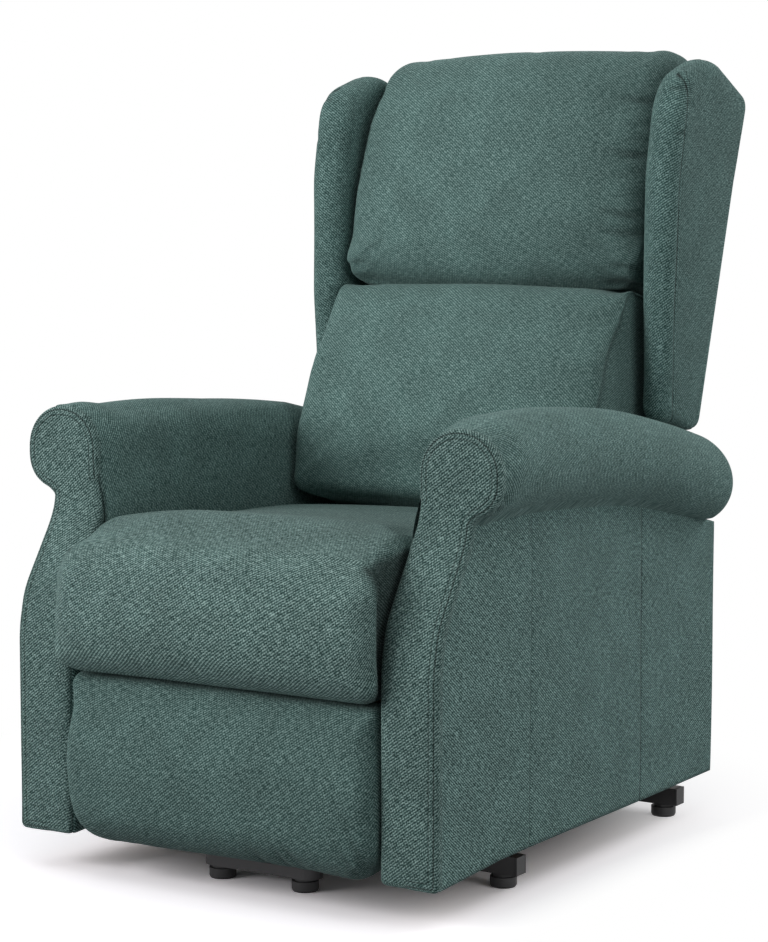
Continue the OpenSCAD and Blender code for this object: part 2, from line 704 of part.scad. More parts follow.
// Legrest linkage, from the seat frame outwards
torque_at = mix(leg_o1, leg_k, 0.35);
module legrest_rear_arms() color(steel_black) {
    both() slab(bracket_x, link_t) difference() {
        union() {
            bar(leg_o1, leg_k, 20);
            bar(leg_o1, rec_e, 20);
            bar(leg_k, leg_nn, 20);
            bar(mix(leg_o1, leg_k, 0.6), leg_nn, 20);
        }
        for (a = [leg_o1, leg_k, rec_e, leg_nn]) drill(a, hole);
    }
    pin(torque_at, -bracket_x, bracket_x, 11);
}
module legrest_arm_pins() color(zinc) both() {
    pin(leg_nn, bracket_x - 1, outer_x + link_t + 1, pin_r);
    pin(rec_e, carrier_x - 1, bracket_x + link_t + 1, pin_r);
}
module legrest_hangers() color(steel_black) both() slab(bracket_x, link_t) difference() {
    bar(leg_o2, leg_m, 20);
    drill(leg_o2, hole);
    drill(leg_m, hole);
}
module legrest_carriers() color(steel_black) both() slab(carrier_x, link_t) difference() {
    union() {
        bar(leg_k, leg_m, 22);
        bar(leg_m, leg_j, 20);
        bar(leg_k, leg_j, 20);
    }
    for (a = [leg_k, leg_m, leg_j]) drill(a, hole);
}
module legrest_carrier_pins() color(zinc) both() for (a = [leg_k, leg_m, leg_j])
    pin(a, carrier_x - 1, bracket_x + link_t + 1, pin_r);
module legrest_tilt_links() color(steel_black) both() slab(outer_x, link_t) difference() {
    bar(leg_nn, leg_p, 18);
    drill(leg_nn, hole);
    drill(leg_p, hole);
}
bracket_low = leg_j[1] - 16;
bracket_high = leg_p[1] + 14;
module legrest_brackets() color(steel_black) both() {
    slab(bracket_x, link_t) difference() {
        union() {
            bar(leg_j, leg_p, 20);
            translate([board_y, bracket_low]) square([leg_j[0] - board_y, bracket_high - bracket_low]);
        }
        drill(leg_j, hole);
    }
    box([bracket_x - 26, board_y, bracket_low], [bracket_x + 1, board_y + 3, bracket_high]);
    pin(leg_p, bracket_x, outer_x + link_t + 1, pin_r);
}
module legrest_board() color(timber)
    box([-leg_half + 16, board_y - board_t, leg_low + 16], [leg_half - 16, board_y, leg_high - 12]);

// Legrest cushion: fullest in the middle, rounded all round, seated on its board
leg_back = board_y - board_t - seat_gap;
leg_ring = outline([[leg_back, leg_low, 6], [leg_back, leg_high, 6], [leg_front + 14, leg_high, 22],
    [leg_front, (leg_low + leg_high) / 2, 150], [leg_front + 12, leg_low, 26]], 5);
module legrest_cushion() color(green)
    pad(leg_ring, [(leg_back + leg_front) / 2, (leg_low + leg_high) / 2],
        [leg_back - leg_front, leg_high - leg_low], leg_half, 24, [-3, 0], 12);

// The back is drawn upright, with its rear face at y = 0, and then leaned
module leaned() {
    translate([0, back_y, back_z]) rotate([-lean, 0, 0]) children();
}
function lean_pt(d, s) = [back_y + s * sin(lean) - d * cos(lean), back_z + s * cos(lean) + d * sin(lean)];

frame_d = panel_t + 2;
frame_s = 60;
pad_d = frame_d + back_tube + 4 + seat_gap;
module back_frame() color(steel_black) leaned() {
    both() box([back_half - 20, -frame_d - back_tube, frame_s], [back_half, -frame_d, back_len - 18]);
    for (s = [frame_s, split_s - 20, back_len - 18 - back_tube])
        box([-back_half, -frame_d - back_tube, s], [back_half, -frame_d, s + back_tube]);
}

// Brackets: side plates with the hinge and the crank arms, and the motor's crank in the middle
strap_top = lean_pt(frame_d + back_tube / 2, frame_s + 110);
strap_low = lean_pt(frame_d + back_tube / 2, frame_s + 8);
module back_brackets() color(steel_black) {
    both() slab(bracket_x, link_t) difference() {
        union() {
            bar(strap_top, strap_low, 28);
            bar(strap_low, rec_h, 30);
            bar(rec_h, rec_g, 24);
        }
        drill(rec_h, hole);
        drill(rec_g, hole);
    }
    difference() {
        slab(motor_x - eye_t / 2, eye_t) difference() {
            bar(strap_low, rec_a, 26);
            drill(rec_a, hole);
        }
        leaned() box([-back_half, -frame_d - back_tube, frame_s], [back_half, 0, frame_s + 60]);
    }
}
module back_pins() color(zinc) {
    both() pin(rec_g, carrier_x - 1, bracket_x + link_t + 1, pin_r);
    pin(rec_a, fork_x(motor_x)[0] - 1, fork_x(motor_x)[1] + ear_t + 1, pin_r);
}
module back_springs() color(zinc) leaned() for (s = [1:6])
    translate([0, -frame_d - back_tube, mix(frame_s + 40, back_len - 70, s / 6.5)])
        rotate([90, 0, 0]) linear_extrude(4) zigzag(-back_half + 4, back_half - 4, 18, 7, 4);

// Upholstered rear panel: narrow between the arms, as wide as the wings above them
neck_s = (wing_heel - back_z) / cos(lean);
module back_panel() color(green_dark) leaned() rotate([90, 0, 0]) linear_extrude(panel_t)
    polygon([[-pad_half, frame_s + 28], [pad_half, frame_s + 28], [pad_half, neck_s],
        [wing_out - 6, neck_s], [wing_out - 6, back_len - 36], [wing_out - 30, back_len - 10],
        [-wing_out + 30, back_len - 10], [-wing_out + 6, back_len - 36], [-wing_out + 6, neck_s],
        [-pad_half, neck_s]]);

// Brackets that tie the wings to the back frame
wing_in = wing_out - wing_t;
module wing_brackets() color(zinc) leaned() both() for (s = [neck_s + 60, back_len - 160])
    box([back_half, -frame_d - back_tube + 4, s], [wing_in - seat_gap, -frame_d - 4, s + 50]);

// Wings: padded side pieces with a round front edge and a round top
wing_ring = outline([[lean_pt(panel_t + seat_gap, neck_s)[0], lean_pt(panel_t + seat_gap, neck_s)[1], 12],
    [lean_pt(panel_t + seat_gap, back_len + 2)[0], lean_pt(panel_t + seat_gap, back_len + 2)[1], 16],
    [wing_front + 148, wing_top + 6, 90], [wing_front + 22, wing_top - 40, 74],
    [wing_front, wing_top - 180, 240], [wing_front - 1, wing_low + 170, 240],
    [wing_front + 14, wing_low, 22]], 4);
module wing() skin([for (u = stations(8)) let(x = u * wing_t / 2, d = drawn(x, wing_t / 2, 24))
    [for (p = wing_ring) [wing_in + wing_t / 2 + x, 335 + (p[0] - 335) * (1 - 2 * d / 250),
        845 + (p[1] - 845) * (1 - 2 * d / 510)]]]);
module right_wing() color(green_dark) wing();
module left_wing() color(green_dark) mirror([1, 0, 0]) wing();

// Back cushions, outlined in depth and length along the back
split_gap = seat_gap / 2;
head_ring = outline([[-pad_d, split_s + split_gap, 8],
    [-pad_d, head_s - 40, 30], [-pad_d - 34, head_s + 3, 36],
    [-head_d + 44, head_s - 2, 60], [-head_d, head_s - 120, 160], [-head_d - 2, split_s + 130, 170],
    [-head_d + 18, split_s + split_gap, 34]], 4);
module head_cushion() color(green) leaned()
    pad(head_ring, [-(pad_d + head_d) / 2, (split_s + head_s) / 2],
        [head_d - pad_d, head_s - split_s], pad_half, 28, [-7, 0], 12);
lumbar_ring = outline([[-pad_d, lumbar_s, 8],
    [-pad_d, split_s - split_gap, 8], [-head_d + 14, split_s - split_gap, 34],
    [-lumbar_d + 14, split_s - 130, 200], [-lumbar_d - 2, lumbar_s + 90, 110],
    [-lumbar_d + 18, lumbar_s, 34]], 4);
module lumbar_cushion() color(green) leaned()
    pad(lumbar_ring, [-(pad_d + lumbar_d) / 2, (lumbar_s + split_s) / 2],
        [lumbar_d - pad_d, split_s - lumbar_s], pad_half, 20, [-6, 0], 12);

// Drive links, through which the reclining back opens the legrest
drive_slack = 0.6;
module drive_links() color(steel_black) both() slab(carrier_x, link_t) difference() {
    bar(rec_g, rec_e, 16);
    drill(rec_g, hole);
    drill(rec_e, hole + drive_slack);
}

// Handset with four push buttons in its outward face
button_z = [hand_z + hand_h - 38, hand_z + hand_h - 16];
button_y = [hand_y - 12, hand_y + 12];
button_depth = 5;
module button_block(y, z, w, x0, x1) {
    translate([x0, y - w / 2, z - w / 2]) rotate([90, 0, 90]) linear_extrude(x1 - x0)
        round_rect(w, w, 3);
}
module handset_case() color(plastic) difference() {
    translate([hand_x, hand_y - hand_w / 2, hand_z]) rotate([90, 0, 90]) linear_extrude(hand_t)
        round_rect(hand_w, hand_h, 12);
    for (y = button_y, z = button_z)
        button_block(y, z, button_w + 2 * seat_gap, hand_x - 1, hand_x + button_depth + 0.5);
}
module button(y, z) button_block(y, z, button_w, hand_x - 1.5, hand_x + button_depth - button_travel);
module raise_button() color("#c9ccd0") button(button_y[0], button_z[1]);
module lower_button() color("#c9ccd0") button(button_y[0], button_z[0]);
module recline_button() color("#c9ccd0") button(button_y[1], button_z[1]);
module sit_button() color("#c9ccd0") button(button_y[1], button_z[0]);

base_frame();
front_foot_bar();
tube_end_caps();
corner_feet();
front_feet();
base_pins();
control_tray();
control_box();
power_inlet();
lift_arms();
lift_crank_pin();
lift_tilt_links();
lift_motor_housing();
lift_motor_rod();
seat_frame();
seat_side_plates();
chassis_pins();
seat_side_rails();
seat_deck_rails();
seat_springs();
seat_cushion();
right_arm_front();
left_arm_front();
right_outer_panel();
left_outer_panel();
right_inner_panel();
left_inner_panel();
right_arm_roll();
left_arm_roll();
arm_top_rails();
arm_bottom_rails();
rear_cover();
handset_pocket();
legrest_rear_arms();
legrest_arm_pins();
legrest_hangers();
legrest_carriers();
legrest_carrier_pins();
legrest_tilt_links();
legrest_brackets();
legrest_board();
legrest_cushion();
back_frame();
back_brackets();
back_pins();
back_springs();
back_panel();
wing_brackets();
right_wing();
left_wing();
head_cushion();
lumbar_cushion();
drive_links();
recline_motor_housing();
recline_motor_rod();
handset_case();
raise_button();
lower_button();
recline_button();
sit_button();
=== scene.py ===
import math
import bmesh
import bpy
import numpy as np
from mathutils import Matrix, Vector


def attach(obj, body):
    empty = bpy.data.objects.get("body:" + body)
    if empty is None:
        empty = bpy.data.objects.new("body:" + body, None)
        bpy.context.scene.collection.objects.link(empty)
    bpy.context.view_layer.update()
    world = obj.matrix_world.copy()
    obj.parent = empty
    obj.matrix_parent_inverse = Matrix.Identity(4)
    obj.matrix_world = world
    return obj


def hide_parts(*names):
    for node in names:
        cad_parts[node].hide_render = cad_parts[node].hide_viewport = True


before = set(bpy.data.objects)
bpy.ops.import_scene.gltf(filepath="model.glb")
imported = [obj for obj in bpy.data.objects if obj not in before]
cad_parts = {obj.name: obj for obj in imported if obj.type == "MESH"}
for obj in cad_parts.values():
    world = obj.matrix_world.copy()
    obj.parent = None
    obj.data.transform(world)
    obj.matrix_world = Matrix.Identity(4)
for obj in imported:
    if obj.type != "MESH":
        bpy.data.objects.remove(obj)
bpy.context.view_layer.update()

# Camera
# A long lens stands to the chair's front right, a little above the seat,
# and looks slightly down at the middle of the chair.
scene = bpy.context.scene
scene.view_settings.view_transform = "Standard"
lens = bpy.data.cameras.new("camera")
lens.lens = 100.15
lens.sensor_width = 36.0
camera = bpy.data.objects.new("camera", lens)
scene.collection.objects.link(camera)
camera.location = (1.9326, -3.122, 0.8925)
aim = Vector((0.0037, -0.061, 0.5198)) - camera.location
camera.rotation_euler = aim.to_track_quat("-Z", "Y").to_euler()
scene.camera = camera


# Studio
# A pale seamless floor with soft boxes above and in front,
# and an even white surround that only shows to the camera and in gloss.
def add(tree, kind, props=None, **sockets):
    """A shader node of that kind; each socket takes a value or another node's output."""
    made = tree.nodes.new("ShaderNode" + kind)
    for key, value in (props or {}).items():
        setattr(made, key, value)
    for key, value in sockets.items():
        socket = made.inputs[int(key[1:])] if key[1:].isdigit() else made.inputs[key.replace("_", " ")]
        if isinstance(value, bpy.types.NodeSocket):
            tree.links.new(value, socket)
        else:
            socket.default_value = value
    return made


world = bpy.data.worlds.new("surround")
scene.world = world
world.use_nodes = True
tree = world.node_tree
tree.nodes.clear()
path = add(tree, "LightPath")
shows = add(tree, "Math", {"operation": "MAXIMUM"}, i0=path.outputs["Is Camera Ray"],
            i1=path.outputs["Is Glossy Ray"])
shows = add(tree, "Math", {"operation": "MAXIMUM"}, i0=shows.outputs[0], i1=path.outputs["Is Transmission Ray"])
dim = add(tree, "Background", Color=(0.91, 1.0, 0.99, 1.0), Strength=0.30)
white = add(tree, "Background", Color=(1.0, 1.0, 1.0, 1.0), Strength=1.0)
both = add(tree, "MixShader", i0=shows.outputs[0], i1=dim.outputs[0], i2=white.outputs[0])
add(tree, "OutputWorld", Surface=both.outputs[0])

floor_mesh = bpy.data.meshes.new("floor")
floor_mesh.from_pydata([(-9, -9, 0), (9, -9, 0), (9, 9, 0), (-9, 9, 0)], [], [(0, 1, 2, 3)])
floor = bpy.data.objects.new("floor", floor_mesh)
scene.collection.objects.link(floor)
paper = bpy.data.materials.new("paper")
paper.use_nodes = True
tree = paper.node_tree
tree.nodes.clear()
path = add(tree, "LightPath")
shows = add(tree, "Math", {"operation": "MAXIMUM"}, i0=path.outputs["Is Camera Ray"],
            i1=path.outputs["Is Glossy Ray"])
where = add(tree, "TexCoord").outputs["Object"]
round_about = add(tree, "Mapping", Vector=where, Location=(0.16, 0.13, 0.0), Scale=(1.05, 0.86, 1.0))
far_off = add(tree, "VectorMath", {"operation": "LENGTH"}, i0=round_about.outputs[0])
fade = add(tree, "MapRange", {"interpolation_type": "SMOOTHSTEP"}, Value=far_off.outputs["Value"], i1=0.40,
           i2=0.86)
beside = add(tree, "MapRange", {"interpolation_type": "SMOOTHSTEP"},
             Value=add(tree, "SeparateXYZ", i0=where).outputs["X"], i1=0.30, i2=0.42)
fade = add(tree, "Math", {"operation": "MAXIMUM"}, i0=fade.outputs[0], i1=beside.outputs[0])
matt = add(tree, "BsdfDiffuse", Color=(1.63, 1.55, 1.60, 1.0))
dull = add(tree, "BsdfDiffuse", Color=(0.22, 0.22, 0.23, 1.0))
glow = add(tree, "Emission", Color=(1.0, 1.0, 1.0, 1.0), Strength=1.0)
seen = add(tree, "MixShader", i0=fade.outputs[0], i1=matt.outputs[0], i2=glow.outputs[0])
both = add(tree, "MixShader", i0=shows.outputs[0], i1=dull.outputs[0], i2=seen.outputs[0])
add(tree, "OutputMaterial", Surface=both.outputs[0])
floor_mesh.materials.append(paper)

lit_point = Vector((0.0, 0.0, 0.6))
for name, place, size, watts in (("key", (-1.9, -2.9, 1.7), 1.9, 86.0), ("top", (0.1, -0.9, 3.2), 2.6, 15.0),
                                 ("side", (3.0, -0.6, 1.3), 2.0, 22.0), ("rear", (1.9, 2.5, 2.7), 1.6, 42.0)):
    soft_box = bpy.data.lights.new(name, "AREA")
    soft_box.energy = watts
    soft_box.size = size
    lamp = bpy.data.objects.new(name, soft_box)
    lamp.location = place
    lamp.rotation_euler = (lit_point - Vector(place)).to_track_quat("-Z", "Y").to_euler()
    scene.collection.objects.link(lamp)


# Base
# Square steel tube, cut, welded and coated with black powder.
# Its ears carry the lift linkage, and a flattened bar in front carries two feet.
def finish_for(name, rough, metal, **sockets):
    """An empty material with one Principled shader, and that shader."""
    made = bpy.data.materials.new(name)
    made.use_nodes = True
    made.node_tree.nodes.clear()
    shader = add(made.node_tree, "BsdfPrincipled", Roughness=rough, Metallic=metal, **sockets)
    add(made.node_tree, "OutputMaterial", Surface=shader.outputs[0])
    return made, made.node_tree, shader


def coat(name, metal, noise, dark, light, shine, relief=None, grain=None, stretch=None, **sockets):
    """A material in the object's coordinates: noise, a scale and a detail, runs its colour from dark to light and its
    roughness over shine. relief is a bump's strength and its height in metres. The bump follows grain, a texture's
    kind, output and sockets, or else the same noise."""
    made, tree, shader = finish_for(name, shine[0], metal, **sockets)
    where = add(tree, "TexCoord").outputs["Object"]
    if stretch:
        where = add(tree, "Mapping", Vector=where, Scale=stretch).outputs[0]
    patch = add(tree, "TexNoise", Vector=where, Scale=noise[0], Detail=noise[1]).outputs["Fac"]
    shade = add(tree, "ValToRGB", Fac=patch)
    shade.color_ramp.elements[0].color = (*dark, 1.0)
    shade.color_ramp.elements[1].color = (*light, 1.0)
    gloss = add(tree, "MapRange", Value=patch, i3=shine[0], i4=shine[1])
    tree.links.new(shade.outputs[0], shader.inputs["Base Color"])
    tree.links.new(gloss.outputs[0], shader.inputs["Roughness"])
    if relief:
        if grain:
            patch = add(tree, grain[0], Vector=where, **grain[2]).outputs[grain[1]]
        bump = add(tree, "Bump", Strength=relief[0], Distance=relief[1], Height=patch)
        tree.links.new(bump.outputs[0], shader.inputs["Normal"])
    return made


def dress(material, *names):
    """Those carried-over parts take this material."""
    for part in names:
        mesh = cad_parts[part].data
        mesh.materials.clear()
        mesh.materials.append(material)


powder = coat("black_powder", 0.0, (14.0, 4.0), (0.010, 0.010, 0.011), (0.024, 0.024, 0.026), (0.34, 0.52),
              (0.25, 0.0004), ("TexNoise", "Fac", {"Scale": 900.0, "Detail": 3.0}), Specular_IOR_Level=0.5)
dress(powder, "base_frame", "front_foot_bar")

# Caps and feet
# Black polypropylene mouldings: caps pushed into the tube ends, feet screwed under the tubes.
moulded = coat("black_moulding", 0.0, (30.0, 3.0), (0.012, 0.012, 0.013), (0.022, 0.022, 0.023), (0.42, 0.6),
               (0.2, 0.0003), ("TexVoronoi", "Distance", {"Scale": 1500.0}), Specular_IOR_Level=0.45)
dress(moulded, "tube_end_caps", "corner_feet", "front_feet", "control_box")

# Pivot pins, brackets and tray
# Turned and pressed mild steel, bright zinc plated.
plated = coat("bright_zinc", 1.0, (12.0, 4.0), (0.40, 0.41, 0.43), (0.66, 0.66, 0.66), (0.26, 0.46),
              (0.12, 0.0003), stretch=(6.0, 90.0, 90.0))
dress(plated, "base_pins", "control_tray", "lift_crank_pin", "chassis_pins", "legrest_arm_pins",
      "legrest_carrier_pins", "back_pins", "wing_brackets")

# Mains inlet
# A glossy black moulded socket let into the control box.
inlet = coat("inlet_gloss", 0.0, (60.0, 2.0), (0.008, 0.008, 0.009), (0.016, 0.016, 0.017), (0.16, 0.3))
dress(inlet, "power_inlet")

# Lift linkage, seat frame, legrest linkage and back frame
# Flat steel bars and plates on pins, and tube, in the base's black powder.
dress(powder, "lift_arms", "lift_tilt_links", "seat_frame", "seat_side_plates", "legrest_rear_arms",
      "legrest_hangers", "legrest_carriers", "legrest_tilt_links", "legrest_brackets", "back_frame",
      "back_brackets", "drive_links")

# Motors
# Linear drives: moulded black housings with a bright rod that slides in the outer tube.
dress(moulded, "lift_motor_housing", "recline_motor_housing")
bright = coat("bright_rod", 1.0, (240.0, 2.0), (0.55, 0.56, 0.58), (0.74, 0.75, 0.77), (0.08, 0.2))
dress(bright, "lift_motor_rod", "recline_motor_rod")

# Timber rails and legrest board
# Sawn pine, glued and screwed to the arms; its grain runs along each rail.
pine, tree, shader = finish_for("sawn_pine", 0.72, 0.0)
where = add(tree, "TexCoord").outputs["Object"]
along = add(tree, "Mapping", Vector=where, Scale=(26.0, 2.2, 26.0))
rings = add(tree, "TexNoise", Vector=along.outputs[0], Scale=3.0, Detail=6.0, Distortion=1.2)
fibre = add(tree, "TexNoise", Vector=along.outputs[0], Scale=40.0, Detail=3.0)
shade = add(tree, "ValToRGB", Fac=rings.outputs["Fac"])
shade.color_ramp.elements[0].color = (0.33, 0.19, 0.085, 1.0)
shade.color_ramp.elements[0].position = 0.36
shade.color_ramp.elements[1].color = (0.56, 0.39, 0.21, 1.0)
shade.color_ramp.elements[1].position = 0.62
gloss = add(tree, "MapRange", Value=fibre.outputs["Fac"], i3=0.62, i4=0.85)
bump = add(tree, "Bump", Strength=0.3, Distance=0.0008, Height=fibre.outputs["Fac"])
tree.links.new(shade.outputs[0], shader.inputs["Base Color"])
tree.links.new(gloss.outputs[0], shader.inputs["Roughness"])
tree.links.new(bump.outputs[0], shader.inputs["Normal"])
dress(pine, "seat_side_rails", "seat_deck_rails", "arm_top_rails", "arm_bottom_rails", "legrest_board")

# Springs
# Zigzag springs of oiled wire, clipped to the rails and to the back's tubes.
wire = coat("spring_wire", 1.0, (120.0, 3.0), (0.16, 0.16, 0.165), (0.34, 0.34, 0.35), (0.32, 0.5))
dress(wire, "seat_springs", "back_springs")


# Arm fronts
# A board, bent back half way up and ending in a round scroll, padded thinly and covered
# in tweed. A double seam follows its outer edge, and the cover is gathered round the scroll.
def tweed(name, lay=1.0, painted_light=1.0, crisp=1.0, red_in_shade=1.0, lines=()):
    """Coarse twill: ribs run across the cloth's own pattern at 45 degrees, lay says which way.
    Each yarn has its own tint, so ribs break up into short light and dark dashes. crisp is the contrast.
    A level and a red share given per piece make lighter, darker and less red copies of the one tweed: painted light
    and shade.
    Each of lines is a narrow sewn-in furrow: where the pattern's x or the named mark has a value, how wide,
    how dark."""
    material, tree, shader = finish_for(name, 0.9, 0.0, Specular_IOR_Level=0.14, Sheen_Weight=0.12,
                                        Sheen_Roughness=0.5, Sheen_Tint=(0.60, 0.80, 0.77, 1.0))
    pattern = add(tree, "UVMap", {"uv_map": "cloth"}).outputs[0]

    def math_node(operation, first, second=0.5, third=0.5, **props):
        """A Math node's result."""
        return add(tree, "Math", {"operation": operation, **props}, i0=first, i1=second, i2=third).outputs[0]

    def wave(across, up, waviness):
        """Sine stripes over the pattern, bent by the wander."""
        stripes = add(tree, "VectorMath", {"operation": "DOT_PRODUCT"}, i0=pattern, i1=(across, up, 0.0))
        return math_node("SINE", math_node("MULTIPLY_ADD", wander, waviness, stripes.outputs["Value"]))

    def noise(scale, detail, stretch=None):
        """Noise over the pattern, stretched if told."""
        place = add(tree, "Mapping", Vector=pattern, Scale=stretch).outputs[0] if stretch else pattern
        made = add(tree, "TexNoise", {"noise_dimensions": "2D"}, Vector=place, Scale=scale, Detail=detail)
        return made.outputs["Fac"]

    rib_pitch = 0.0041
    turn = 2 * math.pi / rib_pitch
    wander = noise(14.0, 4.0)
    rib = wave(turn * lay * 0.76, turn, 5.0)
    dash = wave(turn * lay, -turn * 0.5, 7.0)
    warp = noise(1.0, 1.0, (700.0, 170.0, 1.0))
    weft = noise(1.0, 1.0, (110.0, 640.0, 1.0))
    yarn = math_node("ADD", warp, weft)
    height = math_node("MULTIPLY_ADD", rib, 0.30, yarn)
    height = math_node("MULTIPLY_ADD", dash, 0.10, height)
    light = add(tree, "MapRange", Value=height, i1=0.48, i2=1.52, i3=0.5 - 0.5 * crisp, i4=0.5 + 0.5 * crisp)
    shade = add(tree, "ValToRGB", Fac=light.outputs[0])
    stops = shade.color_ramp.elements
    # The stops carry the piece's painted light and shade: its level scales them all and its red share lowers the red.
    stops[0].color = (0.004 * painted_light * red_in_shade, 0.020 * painted_light, 0.018 * painted_light, 1.0)
    stops[1].color = (0.360 * painted_light * red_in_shade, 0.485 * painted_light, 0.460 * painted_light, 1.0)
    middle = stops.new(0.5)
    middle.color = (0.076 * painted_light * red_in_shade, 0.134 * painted_light, 0.125 * painted_light, 1.0)
    patch = add(tree, "MapRange", Value=noise(18.0, 4.0), i1=0.3, i2=0.7, i3=0.90, i4=1.10)
    # This mark darkens the colour: dark joints along the seams, and painted shade in hollows, creases and on faces
    # turned from the light.
    seam = add(tree, "Attribute", {"attribute_name": "seam"}).outputs["Fac"]
    dark = math_node("MULTIPLY_ADD", seam, -0.55, 1.0, use_clamp=True)
    along = add(tree, "SeparateXYZ", i0=pattern).outputs["X"]
    for source, at, half, depth in lines:
        value = along if source == "x" else add(tree, "Attribute", {"attribute_name": source}).outputs["Fac"]
        apart = math_node("ABSOLUTE", math_node("SUBTRACT", value, at))
        furrow = add(tree, "MapRange", {"interpolation_type": "SMOOTHSTEP"}, Value=apart, i1=0.0, i2=half, i3=depth,
                     i4=0.0).outputs[0]
        dark = math_node("MULTIPLY_ADD", furrow, -1.0, dark, use_clamp=True)
        height = math_node("MULTIPLY_ADD", furrow, -1.6, height)
    tint = math_node("MULTIPLY", patch.outputs[0], dark)
    colour = add(tree, "VectorMath", {"operation": "SCALE"}, i0=shade.outputs[0], Scale=tint)
    bump = add(tree, "Bump", Strength=0.75 * crisp, Distance=0.0010, Height=height)
    gloss = add(tree, "MapRange", Value=yarn, i1=0.6, i2=1.4, i3=0.96, i4=0.8)
    tree.links.new(colour.outputs[0], shader.inputs["Base Color"])
    tree.links.new(bump.outputs[0], shader.inputs["Normal"])
    tree.links.new(gloss.outputs[0], shader.inputs["Roughness"])
    return material


def sew(name, points, pattern, cloth, body, *stands_for, finer=1, **marks):
    """A piece from a grid of points in millimetres, rows by columns: quads join neighbours, and the
    columns close on themselves where the pattern has one column more. Marks are kept per point."""
    rows, cols = points.shape[:2]
    k = np.arange(rows - 1)[:, None]
    j = np.arange(pattern.shape[1] - 1)
    after = (j + 1) % cols
    quads = np.stack([k * cols + j, k * cols + after, (k + 1) * cols + after, (k + 1) * cols + j], -1)
    corners = np.stack([pattern[:-1, :-1], pattern[:-1, 1:], pattern[1:, 1:], pattern[1:, :-1]], -2)
    mesh = bpy.data.meshes.new(name)
    mesh.from_pydata((points.reshape(-1, 3) / 1000.0).tolist(), [], quads.reshape(-1, 4).tolist())
    mesh.uv_layers.new(name="cloth").data.foreach_set("uv", (corners / 1000.0).ravel())
    for key, value in marks.items():
        mark = mesh.attributes.new(key, "FLOAT", "POINT")
        mark.data.foreach_set("value", np.broadcast_to(value, (rows, cols)).ravel().astype(np.float32))
    joined = bmesh.new()
    joined.from_mesh(mesh)
    bmesh.ops.remove_doubles(joined, verts=joined.verts, dist=2e-5)
    bmesh.ops.recalc_face_normals(joined, faces=joined.faces)
    joined.to_mesh(mesh)
    joined.free()
    mesh.shade_smooth()
    mesh.materials.append(cloth)
    piece = bpy.data.objects.new(name, mesh)
    scene.collection.objects.link(piece)
    if finer:
        smooth = piece.modifiers.new("finer", "SUBSURF")
        smooth.levels = finer
        smooth.render_levels = finer
    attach(piece, body)
    if stands_for:
        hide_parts(*stands_for)
    return piece


def rounded(corners, steps=10):
    """Closed outline: each corner [a, b, radius] becomes the circular arc that touches both its sides."""
    c = np.array(corners, float)
    p, r = c[:, :2], c[:, 2:]
    q, s = np.roll(p, 1, 0) - p, np.roll(p, -1, 0) - p
    q /= np.linalg.norm(q, axis=1, keepdims=True)
    s /= np.linalg.norm(s, axis=1, keepdims=True)
    half = np.arccos(np.clip((q * s).sum(1, keepdims=True), -1, 1)) / 2
    mid = p + (q + s) / np.linalg.norm(q + s, axis=1, keepdims=True) * r / np.sin(half)
    start = p + q * r / np.tan(half) - mid
    way = np.where((q[:, :1] * s[:, 1:] - q[:, 1:] * s[:, :1]) < 0, 1, -1) * (np.pi - 2 * half)
    turn = np.arctan2(start[:, 1:], start[:, :1]) + way * np.linspace(0, 1, steps + 1)
    return (mid[:, None] + r[:, None] * np.stack([np.cos(turn), np.sin(turn)], -1)).reshape(-1, 2)


def even(line, count, closed=True):
    """count points at equal distances along a line, measured by its arc length."""
    line = np.vstack([line, line[:1]]) if closed else line
    run = np.concatenate([[0], np.cumsum(np.linalg.norm(np.diff(line, axis=0), axis=1))])
    at = np.linspace(0, run[-1], count + 1 if closed else count)
    at = at[:-1] if closed else at
    return np.stack([np.interp(at, run, line[:, i]) for i in range(line.shape[1])], -1)


def core_of(edge, spine, snap):
    """For each edge point the nearest point of the spine, a line of points, in steps of snap."""
    spine = even(np.array(spine, float), max(2, int(np.linalg.norm(np.diff(spine, axis=0), axis=1).sum() / snap) + 1),
                 closed=False)
    return spine[np.argmin(((edge[:, None] - spine[None]) ** 2).sum(-1), 1)]


def section(face, rim, wall):
    """Rows of a stuffed shape's section, from the middle of one face over a quarter-round rim, across the depth
    and over the other rim, as (reach, inset, turned, share): reach runs from spine to edge, inset and turned are
    1 - sin and 1 - cos of the rim's angle in bends, share is the part of the depth gone through."""
    t, q, w = np.linspace(0, 1, face), np.linspace(0, np.pi / 2, rim), np.linspace(0, 1, wall)[1:-1]
    first = np.stack([t, t * 0 + 1, t * 0, t * 0], -1)
    turn = np.stack([q * 0 + 1, 1 - np.sin(q), 1 - np.cos(q), q * 0], -1)
    across = np.stack([w * 0 + 1, w * 0, w * 0 + 1, w], -1)
    back = [part[::-1] * [1, 1, 1, -1] + [0, 0, 0, 1] for part in (turn, first)]
    return np.vstack([first, turn, across] + back), face, face + 2 * rim + wall - 2


